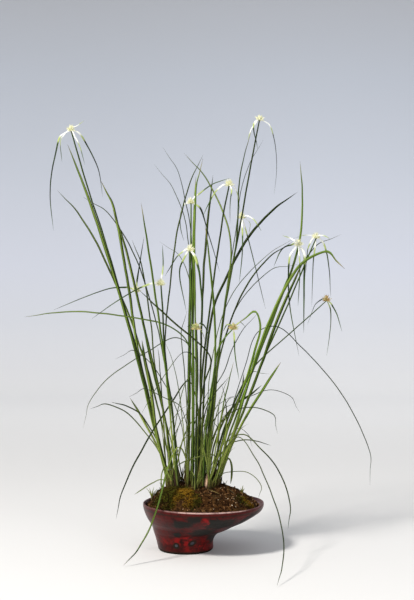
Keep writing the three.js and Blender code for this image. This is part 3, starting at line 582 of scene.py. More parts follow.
def makeStems():
    chance = random.Random(seeds["stems"])
    values = stemSection | {"Material": stemMaterial()}
    for name in cadNamed("stem"):
        (one,), _, _ = tracedBlades(name, "stem")
        stations = [(ring["place"], right, ring["width"] * stemWidth["all"]) for ring in one["rings"]]
        stations[0] = (stations[0][0] - up * fan["sunk"], right, stations[0][2] * stemWidth["root"])
        stations.append((one["tip"], right, stations[-1][2] * stemWidth["tip"]))
        line = {"stations": stations, "tone": sunOn(name, chance.random())}
        addBlades(name + "_green", [line], values, [name])
    print("stems made")


leafFinish = leafMaterial()
makeLeaves()
makeStems()

# A flower head: bracts that leave a dense cluster of small pointed spikelets
head = {
    "rise": 0.0014, "count": 46, "length": 0.0064, "spread": 1.75,
    "crown": 0.75,  # below 1, more of the spikelets lean outwards
    "slim": 0.21,  # a spikelet's width against its length
    "taper": (1.15, 0.75),
    "swirl": 2.4, "stray": 0.2, "shrink": 0.2,
    "lengths": (0.62, 1.08),
    "core": 0.0003,
}
# how ripe each head is, by its number: 0 is pale cream and 1 is orange brown
ripeness = {3: 0.05, 5: 0.1, 8: 0.1, 11: 0.9, 12: 0.7, 13: 0.6}
# how far the white of its bracts is drawn back (or, below 0, reaches out), in mm
drawnBack = {1: -4, 2: -7, 4: 3, 5: -1, 6: 3, 8: 6, 9: -5, 10: -3, 11: 12, 12: 9, 13: 8}
# the bracts are white where they leave the cluster and green from there on
bractLook = {
    "white": (0.92, 0.93, 0.87),
    "pale": (0.42, 0.50, 0.17),
    "whiteEnds": (0.0095, 0.0135),
    "paleReach": 0.008, "arch": 0.0016, "broad": 1.25, "broadest": 0.0031, "slim": 1.2,
    "narrowing": (0.8, 0.008),  # where it starts against the white's end, and how long it takes
    "inside": (0.55, 0.9, 0.6),  # stations in the cluster: how far out one stands, and both widths
}
spikeletLook = {"pale": (0.92, 0.91, 0.74), "cream": (0.72, 0.72, 0.38), "brown": (0.16, 0.06, 0.02)}
ripeRamp = [
    (0.1, (0.34, 0.38, 0.06)),
    (0.35, (0.76, 0.65, 0.33)),
    (0.65, (0.62, 0.43, 0.20)),
    (0.95, (0.24, 0.09, 0.03)),
]


def bractMaterial():
    maker = newMaterial("bractWhiteToGreen")
    reach, across, tone, back = map(maker.attribute, ("reach", "across", "bladeTone", "drawnBack"))
    patch = maker.noise(maker.place(), 60, 2)
    streak = maker.noise(maker.together(across * 7, reach * 60, tone * 40), 1.0, 2)
    green = maker.mixed((patch + tone * 0.4 - 0.5).clamped(), leafGreen["deep"], leafGreen["fresh"])
    turning = (reach + (streak - 0.5) * 0.008 + (0.6 - tone) * 0.008 + back).between(*bractLook["whiteEnds"])
    later = (reach + back + (0.6 - tone) * 0.012 - bractLook["paleReach"]).between(*bractLook["whiteEnds"])
    colour = maker.mixed(turning, bractLook["white"], maker.mixed(later, bractLook["pale"], green))
    return maker.dressed(colour, 0.5 + patch * 0.1, ((across * 60).sine(), 0.2, 0.0002), 0.2)


def spikeletMaterial():
    maker = newMaterial("spikeletCream")
    tone, age, height = map(maker.attribute, ("spikeletTone", "spikeletAge", "spikeletAlong"))
    grain = maker.noise(maker.place(), 900, 2)
    ripe = maker.ramp((tone * 0.8 + grain * 0.5 + age * 0.6 - 0.65).clamped(), ripeRamp)
    colour = maker.layered(
        spikeletLook,
        "pale",
        ((tone * 0.8 + grain * 0.4 - 0.1).clamped(), "cream"),
        ((age * 1.5 * (1 + (tone - 0.5) * 0.6)).clamped(), ripe),
        ((1 - height.between(0.0, 0.4)) * 0.55, leafGreen["yellow"]),
        (height.between(0.7, 1.0) * age * tone, "brown"),
    )
    return maker.dressed(colour, 0.6, (grain, 0.3, 0.0002), 0.3)


def headTree():
    inputs = {"Step": 0.0016, "Corners": 10, "Fold": 0.3, "Thickness": 0.1, "Keel": 0.06, "Sway": 0.0006}
    made, maker, wires = newTree("flowerHead", bladeInputs | inputs | {"Spikelet material": None})
    skin = bladeSkin(maker, wires)
    size = maker.named("spikeletSize")
    points = maker.add("MeshToPoints", Mesh=wires["Geometry"], Selection=size > 0.0001)
    body = maker.add("MeshUVSphere", Segments=6, Rings=6, Radius=0.5)
    x, y, z = maker.apart(maker.add("InputPosition"))
    along = z + 0.5
    broad, drop = head["taper"]
    slim = (broad - along * drop) * head["slim"]
    body = maker.stored(body, "spikeletAlong", along)
    shape = maker.together(x * slim, y * slim, along)
    body = maker.add("SetPosition", Geometry=body, Position=shape)
    way = maker.named("bladeSide", "FLOAT_VECTOR")
    turned = maker.add("FunctionNodeAlignRotationToVector", {"axis": "Z"}, Vector=way)
    sockets = {"Points": points, "Instance": body, "Rotation": turned, "Scale": size}
    cluster = maker.add("RealizeInstances", maker.add("InstanceOnPoints", **sockets))
    cluster = maker.finished(cluster, wires["Spikelet material"])
    endTree(maker, maker.joined(skin, cluster))
    return made


def bractStations(one, centre, back):
    stations = []
    white = bractLook["whiteEnds"][1] - back
    start, reach = bractLook["narrowing"]
    for ring in one["rings"]:
        place, side, width = ring["place"], ring["side"], ring["width"]
        share = min(1.0, max(0.0, ((place - centre).length - white * start) / reach))
        broad = min(width * bractLook["broad"], bractLook["broadest"])
        stations.append((place, side, broad * (1 - share) + width * bractLook["slim"] * share))
    place, side, width = stations[0]
    arch = up * bractLook["arch"]
    out, broad, slim = bractLook["inside"]
    stations.insert(0, (centre.lerp(place, out) + arch, side, width * broad))
    stations.insert(0, (centre + arch / 2, side, width * slim))
    stations.append((one["tip"], one["rings"][-1]["side"], blade["tipWidth"]))
    return stations


def addSpikelets(mesh, centre, age, chance):
    start = len(mesh.vertices)
    mesh.vertices.add(head["count"])
    for label in ("spikeletSize", "spikeletTone", "spikeletAge"):
        mesh.attributes.new(label, "FLOAT", "POINT")
    size, tone, ripe = (mesh.attributes["spikelet" + word].data for word in ("Size", "Tone", "Age"))
    ways = mesh.attributes["bladeSide"].data
    for index in range(head["count"]):
        share = index / (head["count"] - 1)
        tilt = head["spread"] * share ** head["crown"]
        turn = head["swirl"] * index + chance.uniform(-head["stray"], head["stray"])
        way = Vector((sin(tilt) * cos(turn), sin(tilt) * sin(turn), cos(tilt)))
        mesh.vertices[start + index].co = centre + way * head["core"]
        ways[start + index].vector = way
        length = head["length"] * (1 - head["shrink"] * share)
        size[start + index].value = length * chance.uniform(*head["lengths"])
        tone[start + index].value = chance.random()
        ripe[start + index].value = age


def makeHeads():
    chance = random.Random(seeds["heads"])
    tree = headTree()
    values = {"Material": bractMaterial(), "Spikelet material": spikeletMaterial()}
    for name in cadNamed("flower"):
        found, _, poles = tracedBlades(name, "bract")
        centre = poles[0] + up * head["rise"]
        number = int(name.split("_")[-1])
        back = drawnBack.get(number, 0) * mm
        lines = [{"stations": bractStations(one, centre, back), "tone": chance.random()} for one in found]
        source = stationMesh(name, lines)
        addValues(source, "drawnBack", [back] * len(source.vertices))
        addSpikelets(source, centre, ripeness.get(number, 0.0), chance)
        addGrown(name + "_dressed", source, tree, values, [name])
    print("flower heads made")


makeHeads()

# The pot: its wall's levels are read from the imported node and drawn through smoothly, and a hand's unevenness
# is added
pot = {
    "sides": 144, "rowHeight": 0.0009, "uneven": 0.0005,
    "unevenScale": (28, 28, 40),
    "unevenFrom": 0.002,
    "throwing": 0.00004,  # height of the faint ridges that fingers leave
    "throwingPitch": 0.0031,
    "throwingWaver": (60, 0.0006),  # how fast across the pot, and how high
    "lip": 0.0014, "lipOut": 0.0009, "lipSteps": 8, "lipWave": 0.0004, "lipWaveScale": 30,
    "lipZone": 0.003,
    "hollow": [(0.55, 0.0018), (0.8, 0.0018), (0.86, 0.0)],  # shares of the foot's radius, and heights
    "footEdge": 0.0009, "footRound": 0.00035, "footRoundTop": 0.0014,
    "wall": (0.0006, 0.0022),  # its first row, and how far under the rim it ends
    "inside": (0.0425, 0.0085, 0.0032),  # top, bottom and row height
    "wallLevels": (0, 2, 9, 13.5, 18, 21, 25.5, 30, 35, 40, 44),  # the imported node's corners, in mm
    "hollowLevels": (8, 19, 27, 34, 42),
}


def levelsOf(name):
    levels = {}
    for vertex in cadNodes[name].data.vertices:
        levels.setdefault(round(vertex.co.z, 4), []).append(vertex.co.x)
    return sorted((z, min(xs), max(xs)) for z, xs in levels.items())


def levelsAt(levels, heights):
    return [row for row in levels if any(abs(row[0] - z * mm) < 1e-5 for z in heights)]


# Left and right at a height, on a smooth line through the levels
def smoothLine(rows, z):
    index = next((i for i in range(1, len(rows)) if rows[i][0] >= z), len(rows) - 1)
    before, low, high, after = (rows[max(0, min(len(rows) - 1, index + k))] for k in (-2, -1, 0, 1))
    t = max(0.0, min(1.0, (z - low[0]) / (high[0] - low[0])))
    values = []
    for side in (1, 2):
        slopes = []
        for first, second in ((before, high), (low, after)):
            slopes.append((second[side] - first[side]) / (second[0] - first[0]) * (high[0] - low[0]))
        ease = 3 * t**2 - 2 * t**3
        curved = (t**3 - 2 * t**2 + t) * slopes[0] + (t**3 - t**2) * slopes[1]
        values.append((1 - ease) * low[side] + ease * high[side] + curved)
    return values


def ringAt(left, right, z, sides):
    middle, radius = (left + right) / 2, (right - left) / 2
    turns = [fullTurn * k / sides for k in range(sides)]
    return [Vector((middle + radius * cos(t), radius * sin(t), z)) for t in turns]


def loftMesh(name, rings, first, last):
    sides = len(rings[0])
    places = [co for ring in rings for co in ring] + [first, last]
    faces = []
    for row in range(len(rings) - 1):
        for k in range(sides):
            a, b = row * sides + k, row * sides + (k + 1) % sides
            faces.append((a, b, b + sides, a + sides))
    top = (len(rings) - 1) * sides
    faces += [(len(places) - 2, (k + 1) % sides, k) for k in range(sides)]
    faces += [(len(places) - 1, top + k, top + (k + 1) % sides) for k in range(sides)]
    return newMesh(name, places, [], faces)


# Left, right and height of each ring: under the foot, up the wall, over the lip and down inside
def potProfile(rim, wall, inside):
    rimTop, left, right = rim
    rows = [(wall[0][1] * share, wall[0][2] * share, z) for share, z in pot["hollow"]]
    rows.append((wall[0][1] + pot["footEdge"], wall[0][2] - pot["footEdge"], 0.0))
    z, under = pot["wall"]
    while z < rimTop - under:
        low, high = smoothLine(wall, z)
        inset = pot["footRound"] if z < pot["footRoundTop"] else 0.0
        rows.append((low + inset, high - inset, z))
        z += pot["rowHeight"]
    half = pot["lip"] / 2
    for step in range(pot["lipSteps"] + 1):
        turn = pi * step / pot["lipSteps"]
        inset = half * (1 - cos(turn)) - pot["lipOut"]
        rows.append((left + inset, right - inset, rimTop - half + half * sin(turn)))
    z, bottom, drop = pot["inside"]
    while z > bottom:
        rows.append((*smoothLine(inside, z), z))
        z -= drop
    return rows


def makePot():
    levels = levelsOf("pot")
    inside = levelsAt(levels, pot["hollowLevels"])
    rimTop = levels[-1][0]
    profile = potProfile(levels[-1], levelsAt(levels, pot["wallLevels"]), inside)
    rings = [ringAt(*row, pot["sides"]) for row in profile]
    fast, high = pot["throwingWaver"]
    for co in (co for ring in rings for co in ring):
        lump = noise.noise(co * Vector(pot["unevenScale"])) * pot["uneven"]
        wave = (co.z + high * sin(co.x * fast)) / pot["throwingPitch"]
        if pot["unevenFrom"] < co.z < rimTop:
            ridge = sin(fullTurn * wave) * pot["throwing"]
            co += Vector((co.x / 2, co.y, 0)).normalized() * (lump + ridge)
        if co.z > rimTop - pot["lipZone"]:
            across = co.xy * pot["lipWaveScale"]
            co.z += noise.noise(Vector((*across, 3.0))) * pot["lipWave"]
    first = up * pot["hollow"][0][1]
    last = Vector(((inside[0][1] + inside[0][2]) / 2, 0, inside[0][0]))
    addPiece("pot_glazed", loftMesh("potWall", rings, first, last), ["pot"], glazeMaterial())
    print("pot made:", len(rings), "rings")


# Markings of the glaze, as seen from the front: middle across, middle up, half width and half height in mm,
# and their turn
glazeMarks = {
    "dark": [
        (9, 40, 8.5, 4.2, 0),
        (-0.5, 33.8, 10.5, 4.2, 0.05),
        (34.5, 35, 16, 6.2, 0.1),
        (17, 24.5, 14, 5.4, 0.05),
        (-7.5, 21, 3.4, 2.6, 0),
        (60, 36.6, 17, 2.4, 0.54),
        (25, 15, 4.5, 7, 0),
        (29, 17.5, 4.5, 8.5, 0),
        (50, 29, 10, 3, 0.45),
    ],
    "bright": [(19.2, 37.6, 3.6, 4.6, 0.6), (1, 14, 11.5, 5, 0), (16, 8.5, 7, 5, 0)],
    "spots": [(-8.7, 9, 1.4, 1.4, 0), (6.9, 11.5, 2, 1.3, 0.5)],
    "spotRim": 2.3,  # size of the dark ring round a spot, against the spot
}
glaze = {
    "crimson": (0.090, 0.006, 0.005),
    "deep": (0.024, 0.0035, 0.003),
    "bright": (0.24, 0.006, 0.006),
    "dark": (0.009, 0.012, 0.010),
    "leftEdgeSheen": (0.085, 0.070, 0.055),
    "sheen": (0.22, 0.14, 0.13),
    "blue": (0.055, 0.060, 0.072),
    "wearAndHighlight": (0.60, 0.40, 0.36),
    "rim": (0.070, 0.011, 0.011),
    "foot": (0.014, 0.010, 0.006),
}


def most(shapes):
    total = shapes[0]
    for shape in shapes[1:]:
        total = total.most(shape)
    return total


def marked(across, height, wobble, marks, soft, wider=1):
    shapes = []
    for *sizes, turn in marks:
        ((middleX, middleZ, halfX, halfZ),) = metres(sizes)
        dx, dz = across - middleX, height - middleZ
        a = (dx * cos(turn) + dz * sin(turn)) / (halfX * wider)
        b = (dz * cos(turn) - dx * sin(turn)) / (halfZ * wider)
        shapes.append(1 - (a * a + b * b + wobble).between(1 - soft, 1 + soft))
    return most(shapes)


def glazeMaterial():
    maker = newMaterial("crimsonGlaze")
    place = maker.place()
    x, y, z = maker.apart(place)
    front = 1 - y.between(-0.004, 0.004)
    cloud, fine = maker.noise(place, 55, 4, 0.6), maker.noise(place, 260, 4, 0.65)
    wobble = (cloud - 0.5) * 3.4 + (fine - 0.5) * 2.4
    bright = marked(x, z, wobble, glazeMarks["bright"], 0.7) * front
    low = (1 - z.between(0.012, 0.02)) * cloud.between(0.45, 0.6) * 0.5
    broken = maker.noise(place, 170, 4, 0.6).between(0.42, 0.56)
    dark = marked(x, z, wobble, glazeMarks["dark"], 0.6) * front
    behind = (1 - front) * maker.noise(place, 42, 3).between(0.56, 0.62) * z.between(0.012, 0.02)
    patches = dark.most(behind) * (1 - marked(x, z, wobble * 0.5, glazeMarks["bright"][:1], 0.3))
    spots = marked(x, z, wobble * 0.12, glazeMarks["spots"], 0.25) * front
    rims = marked(x, z, wobble * 0.12, glazeMarks["spots"], 0.3, glazeMarks["spotRim"]) * front
    # the lip's pale line at the front: worn glaze, with a painted highlight along its top
    stretch = x.between(-0.022, -0.008) * (1 - x.between(0.050, 0.064))
    wearAndHighlight = stretch * (0.3 + cloud.between(0.4, 0.55) * 0.7) * front
    lip = z.between(0.0457, 0.0462) * fine.between(0.22, 0.5) * (wearAndHighlight * 0.9 + 0.1)
    foot = 1 - z.between(0.0014, 0.0034)
    colour = maker.layered(
        glaze,
        "deep",
        ((cloud * 0.6 + fine * 0.4).between(0.36, 0.66), "crimson"),
        (z.between(0.0355, 0.040) * fine.between(0.35, 0.6) * 0.5, "crimson"),
        (bright.most(low) * broken * 0.95, "bright"),
        (patches * (0.75 + fine * 0.3), "dark"),
        (rims * 0.95, "foot"),
        (spots * 0.9, "blue"),
        # painted sheen: the far left of the wall greyed, as a soft reflection
        ((1 - x.between(-0.042, -0.028)) * fine.between(0.45, 0.6) * 0.35, "leftEdgeSheen"),
        (x.between(0.066, 0.076) * z.between(0.036, 0.042) * (0.3 + fine * 0.5), "sheen"),
        # painted shade: a dark band under the lip
        (z.between(0.0412, 0.0425) * (1 - z.between(0.0432, 0.0445)) * 0.6, "foot"),
        (z.between(0.0450, 0.0456) * 0.9, "rim"),
        (lip * 0.85, "wearAndHighlight"),
        ((foot + (cloud - 0.5) * 0.6).clamped(), "foot"),
    )
    rough = (0.24 + fine * 0.2 + patches * 0.14 + lip * 0.3 + foot * 0.4).least(0.95)
    height = maker.noise(place, 420, 3) * 0.5 + fine * 0.5 + patches * 0.35
    return maker.dressed(colour, rough, (height, 0.45, 0.0006), 0.1)


makePot()

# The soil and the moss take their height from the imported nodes
soil = {
    "sides": 160, "rows": 56, "crumb": 0.0021, "crumbScale": 260, "swell": 0.0018, "swellScale": 70,
    "inwards": (9, 0.25),  # how fast the relief grows from the wall, and its share at the wall
    "clear": 0.004,  # share by which heights are taken nearer the peak, so that none misses the mound
    "peak": (0.006, 0.0, 0.0),
    "edge": 44.5,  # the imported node's level at the wall, in mm
    "surface": 0.0446,  # what is lower is hidden in the pot
    "hollows": (0.035, 0.028, 0.012),
}
soilRamp = [
    (0.3, (0.003, 0.001, 0.0003)),
    (0.45, (0.018, 0.007, 0.002)),
    (0.58, (0.08, 0.035, 0.010)),
    (0.72, (0.24, 0.13, 0.05)),
]


def topFinder(name):
    shape = mergedCopy(name)
    tree = BVHTree.FromBMesh(shape)
    shape.free()

    def heightAt(x, y):
        hit = tree.ray_cast(Vector((x, y, 0.2)), -up)[0]
        return None if hit is None else hit.z

    return heightAt


def soilMaterial():
    maker = newMaterial("darkSoil")
    place = maker.place()
    big, mid, small = (maker.noise(place, scale, 4, 0.6) for scale in (70, 300, 1100))
    colour = maker.ramp(mid * 0.6 + small * 0.4, soilRamp)
    colour = maker.mixed(big.between(0.45, 0.7) * 0.45, colour, soil["hollows"])
    return maker.dressed(colour, 0.8 + small * 0.2, (mid + small * 0.6, 0.8, 0.0008), 0.05)


def soilLift(x, y, share):
    spot = Vector((x, y, 0.0))
    lumps = noise.fractal(spot * soil["crumbScale"], 1.0, 2.1, 4) * soil["crumb"]
    swell = noise.noise(spot * soil["swellScale"]) * soil["swell"]
    fast, least = soil["inwards"]
    return (lumps + swell) * min(1.0, (1 - share) * fast + least)


def makeSoil():
    heightAt = topFinder("soil")
    levels = levelsOf("soil")
    inside = levelsAt(levels, pot["hollowLevels"])
    (edge,) = levelsAt(levels, (soil["edge"],))
    rings = [ringAt(row[1], row[2], row[0], soil["sides"]) for row in inside]
    outline = ringAt(edge[1], edge[2], edge[0], soil["sides"])
    peak = Vector(soil["peak"])
    for row in range(soil["rows"]):
        share = 1 - row / soil["rows"]
        ring = []
        for co in outline:
            x, y = peak.x + (co.x - peak.x) * share, co.y * share
            z = heightAt(x + (peak.x - x) * soil["clear"], y * (1 - soil["clear"])) or edge[0]
            ring.append(Vector((x, y, z + soilLift(x, y, share))))
        rings.append(ring)
    top = heightAt(peak.x, peak.y) + soilLift(peak.x, peak.y, 0)
    bottom = Vector((inside[0][1] + inside[0][2], 0, 2 * inside[0][0])) / 2
    mesh = loftMesh("soilMound", rings, bottom, Vector((peak.x, peak.y, top)))
    addPiece("soil_mound", mesh, ["soil"], soilMaterial())
    return mesh


soilMesh = makeSoil()
print("soil made")

# Small things scattered over a surface: each is the tree's own little body, turned and sized by chance
scatterInputs = {"Density": 1000.0, "Smallest": 0.001, "Largest": 0.002, "Seed": 1, "Material": None}
squashed = ((0.7, 0.7, 0.55), (1.15, 1.15, 1.1))
crumbs = {
    "soil_crumbs": {"Density": 260000.0, "Smallest": 0.0008, "Largest": 0.0025, "Seed": 4},
    "soil_grains": {"Density": 150000.0, "Smallest": 0.0006, "Largest": 0.0019, "Seed": 9},
}
crumbRamps = {
    "soil_crumbs": [
        (0.1, (0.003, 0.001, 0.0003)),
        (0.5, (0.024, 0.009, 0.003)),
        (0.75, (0.085, 0.034, 0.010)),
        (0.95, (0.34, 0.18, 0.08)),
    ],
    "soil_grains": [(0.0, (0.10, 0.05, 0.02)), (0.5, (0.34, 0.21, 0.11)), (1.0, (0.70, 0.58, 0.42))],
}
# across, depth and radius, in mm
paleSpots = metres((43, -30, 11), (58, -20, 7), (-24, -12, 6), (30, 38, 10), (66, 10, 6))


def chanceNode(maker, kind, low, high, seed):
    made = maker.node("FunctionNodeRandomValue", {"data_type": kind})
    first = 2 if kind == "FLOAT" else 0
    for index, value in ((first, low), (first + 1, high), (8, seed)):
        maker.plug(made.inputs[index], value)
    return Wire(maker, made.outputs[first // 2])


def scattered(maker, wires, body, tilt):
    density = wires["Density"] * maker.named("weight")
    sockets = {"Mesh": wires["Geometry"], "Density": density, "Seed": wires["Seed"]}
    points = maker.add("DistributePointsOnFaces", **sockets)
    turn = chanceNode(maker, "FLOAT_VECTOR", (-tilt, -tilt, 0.0), (tilt, tilt, fullTurn), 1)
    size = chanceNode(maker, "FLOAT", wires["Smallest"], wires["Largest"], 2)
    squash = chanceNode(maker, "FLOAT_VECTOR", *squashed, 3)
    sockets = {"Points": points, "Instance": body, "Rotation": turn, "Scale": maker.scaled(squash, size)}
    made = maker.add("InstanceOnPoints", **sockets)
    made = maker.stored(made, "pieceTone", chanceNode(maker, "FLOAT", 0.0, 1.0, 5), "INSTANCE")
    return maker.finished(made, wires["Material"])


def crumbTree():
    made, maker, wires = newTree("crumbs", scatterInputs)
    body = maker.add("MeshIcoSphere", Radius=0.5, Subdivisions=1)
    endTree(maker, scattered(maker, wires, body, pi))
    return made


# The soil's mesh with a weight for what grows or lies on its surface
def weightedSoil(weightAt):
    copy = soilMesh.copy()
    places = [vertex.co for vertex in copy.vertices]
    addValues(copy, "weight", [(co.z > soil["surface"]) * max(0.0, weightAt(co)) for co in places])
    return copy


def nearSpots(co, spots):
    return sum(exp(-(((co.x - x) ** 2 + (co.y - y) ** 2) / (r * r))) for x, y, r in spots)


def clumpsAt(co):
    return 0.35 + 1.6 * max(0.0, noise.noise(co * 55))


def palesAt(co):
    return (0.02 + nearSpots(co, paleSpots)) * (noise.noise(co * 160) > -0.1)


def crumbMaterial(name):
    maker = newMaterial(name.replace("_", " "))
    grain = maker.noise(maker.place(), 1400, 3, 0.6)
    shade = (maker.attribute("pieceTone") * 0.75 + grain * 0.5 - 0.12).clamped()
    colour = maker.ramp(shade, crumbRamps[name])
    return maker.dressed(colour, 0.75 + grain * 0.2, (grain, 0.6, 0.0004), 0.05)


def makeCrumbs():
    tree = crumbTree()
    for name, weightAt in (("soil_crumbs", clumpsAt), ("soil_grains", palesAt)):
        values = crumbs[name] | {"Material": crumbMaterial(name)}
        addGrown(name, weightedSoil(weightAt), tree, values)
    print("crumbs made")


makeCrumbs()

# Moss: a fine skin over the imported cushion, and tufts of pointed leaflets that stand on it and on small
# patches of the soil
moss = {
    "cuts": 4, "lump": 0.0009, "lumpScale": 330,
    "level": 0.4,  # raises the lumps, so that few of them are hollows
    "upwards": 0.2,
    "ring": {"Vertices": 5, "Radius": 0.12},
    "leaflet": {"Vertices": 3, "Radius_Top": 0.0, "Radius_Bottom": 0.11, "Depth": 0.9},
    "splay": 6.0,
    "tufts": {"Density": 1900000.0, "Smallest": 0.0014, "Largest": 0.0034, "Seed": 6},
    "tilt": 0.45,
    "green": (0.020, 0.022, 0.003),
    "bright": (0.18, 0.165, 0.018),
    "orange": (0.46, 0.23, 0.020),
    "brown": (0.018, 0.007, 0.002),
}
# across, depth and radius, in mm
mossPatches = metres(
    *((59, -24, 8.5), (-26, -22, 8), (-16, -40, 8), (8, -43, 8.5)),
    *((-28.5, 4, 5), (48, 34, 8), (10, 46, 9), (-20, 30, 7)),
)
orangeSpots = metres((-0.5, -39, 10.5), (62, -21.5, 6.5), (48, 34, 6))


def mossTree():
    made, maker, wires = newTree("moss", scatterInputs | {"Skin": 1})
    ring, leaflet = maker.add("MeshCircle", **moss["ring"]), maker.add("MeshCone", **moss["leaflet"])
    settings, splay = {"operation": "MULTIPLY_ADD"}, (moss["splay"], moss["splay"], 0.0)
    out = maker.add("ShaderNodeVectorMath", settings, maker.add("InputPosition"), splay, up)
    turned = maker.add("FunctionNodeAlignRotationToVector", {"axis": "Z"}, Vector=out)
    tuft = maker.add("InstanceOnPoints", Points=ring, Instance=leaflet, Rotation=turned)
    tufts = scattered(maker, wires, maker.add("RealizeInstances", tuft), moss["tilt"])
    sockets = {"Switch": wires["Skin"], "True": wires["Geometry"]}
    kept = maker.add("Switch", {"input_type": "GEOMETRY"}, **sockets)
    endTree(maker, maker.joined(kept, tufts))
    return made


def mossMaterial():
    maker = newMaterial("mossGreenToOrange")
    place = maker.place()
    x, y, _ = maker.apart(place)
    tone = maker.attribute("pieceTone")
    cloud, fine = maker.noise(place, 160, 3), maker.noise(place, 480, 3)
    shapes = []
    for spotX, spotY, radius in orangeSpots:
        dx, dy = (x - spotX) / radius, (y - spotY) / radius
        shapes.append(1 - (dx * dx + dy * dy + (cloud - 0.5) * 4 + (tone - 0.5)).between(0.4, 1.6))
    colour = maker.layered(
        moss,
        "green",
        ((cloud * 1.5 + tone * 0.9 - 0.95).clamped(), "bright"),
        (most(shapes) * (0.35 + tone * 0.5), "orange"),
        (fine.between(0.44, 0.58) * 0.85, "brown"),
    )
    return maker.dressed(colour, 0.75 + fine * 0.15, (fine, 0.6, 0.0006), 0.05)


def patchesAt(co):
    return nearSpots(co, mossPatches) + noise.noise(co * 200) * 0.25 - 0.3


def mossSkin():
    shape = mergedCopy("moss")
    bmesh.ops.subdivide_edges(shape, edges=shape.edges, cuts=moss["cuts"], use_grid_fill=True)
    shape.normal_update()
    for v in shape.verts:
        lump = noise.noise(v.co * moss["lumpScale"]) + moss["level"]
        v.co.z += max(0.0, v.normal.z) * lump * moss["lump"]
    skin = bpy.data.meshes.new("mossSkin")
    shape.normal_update()
    upwards = [float(v.normal.z > moss["upwards"]) for v in shape.verts]
    shape.to_mesh(skin)
    shape.free()
    addValues(skin, "weight", upwards)
    return skin


def makeMoss():
    tree = mossTree()
    finish = mossMaterial()
    values = moss["tufts"] | {"Material": finish}
    skin = mossSkin()
    skin.materials.append(finish)
    addGrown("moss_cushion", skin, tree, values | {"Skin": 1}, ["moss"])
    addGrown("moss_patches", weightedSoil(patchesAt), tree, values | {"Skin": 0})
    print("moss made")


makeMoss()

# Dried sheaths round the roots, small sprouts and bits of straw that lie on the soil
litter = {
    "perRoot": 2,
    "scaleLength": (0.009, 0.030),
    "scaleWidth": 0.0022, "out": 0.0015, "footOut": 0.7, "bow": 0.3, "spread": 0.003, "sunk": 0.001,
    "straws": 18,
    "strawReach": (0.016, 0.040),
    "strawHalf": (0.004, 0.009),
    "strawWidth": 0.0008, "strawLift": 0.0014, "strawBow": 0.001,
    "ground": 0.046,  # where a straw's end reaches past the soil
    "middle": 0.014,
}
sheathColours = {
    "olive": (0.10, 0.085, 0.014),
    "straw": (0.24, 0.17, 0.05),
    "brown": (0.035, 0.015, 0.006),
    "pink": (0.80, 0.52, 0.34),
}
# across, depth, height and blade width, in mm
sprouts = metres(
    *((-33.5, -6, 22, 1.1), (56, -9, 11, 1.2), (12, -21.5, 24, 1.5)),
    *((-24, 25, 13, 0.8), (40, 33, 11, 0.8), (5, 40, 15, 0.9)),
)
sproutLeans = (-0.3, -0.15, 0.1, 0.25)
pinkSheath = {"place": (0.0205, -0.0170), "length": 0.0155, "width": 0.0044, "lean": 0.001, "bow": 0.002}
# a small blade's width along its arch
archWidths = ((0, 0.8), (0.2, 1), (0.4, 1), (0.6, 0.85), (0.8, 0.55), (0.93, 0.28), (1, 0.02))


def archLine(start, middle, end, side, width, tone):
    stations = []
    for t, share in archWidths:
        stations.append((start.lerp(middle, t).lerp(middle.lerp(end, t), t), side, width * share))
    return {"stations": stations, "tone": tone}


def sheathMaterial():
    maker = newMaterial("driedSheath")
    along, across, tone = map(maker.attribute, ("along", "across", "bladeTone"))
    streak = maker.noise(maker.together(across * 8, along * 2, tone * 40), 1.0, 3)
    order = [(0.15, "brown"), (0.45, "olive"), (0.75, "straw"), (1.0, "pink")]
    stops = [(place, sheathColours[name]) for place, name in order]
    colour = maker.ramp((tone + (streak - 0.5) * 0.4).clamped(), stops)
    colour = maker.mixed((1 - along.between(0.0, 0.35)) * 0.7, colour, sheathColours["brown"])
    return maker.dressed(colour, 0.6 + streak * 0.2, (streak, 0.4, 0.0003), 0.3)


def sheathLines(chance, heightAt):
    for base, way in rootPlaces * litter["perRoot"]:
        turn = chance.uniform(0, fullTurn)
        out = Vector((cos(turn), sin(turn), 0))
        start = base + out * litter["out"] * litter["footOut"]
        start.z = (heightAt(start.x, start.y) or base.z) - litter["sunk"]
        shortest, longest = litter["scaleLength"]
        rise = shortest + (longest - shortest) * chance.random() ** 2
        end = start + way.normalized() * rise + out * chance.uniform(0.0, litter["spread"])
        middle = start.lerp(end, 0.5) + out * litter["out"] * litter["bow"]
        width, tone = litter["scaleWidth"] * chance.uniform(0.6, 1.1), chance.uniform(0.0, 0.62)
        yield archLine(start, middle, end, Vector((-out.y, out.x, 0)), width, tone)
    x, y = pinkSheath["place"]
    foot = Vector((x, y, heightAt(x, y) - litter["sunk"]))
    top = foot + Vector((pinkSheath["lean"], 0, pinkSheath["length"]))
    middle = (foot + top) / 2 - Vector((0, pinkSheath["bow"], 0))
    yield archLine(foot, middle, top, right, pinkSheath["width"], 1.0)


def sproutLines(chance, heightAt):
    for x, y, rise, width in sprouts:
        foot = Vector((x, y, heightAt(x, y) - litter["sunk"]))
        for lean in sproutLeans:
            height = rise * chance.uniform(0.5, 1.0)
            end = foot + Vector((lean * rise, chance.uniform(-0.2, 0.2) * rise, height))
            middle = foot + Vector((0, 0, height * 0.6))
            yield archLine(foot, middle, end, right, width, chance.uniform(0.2, 0.9))


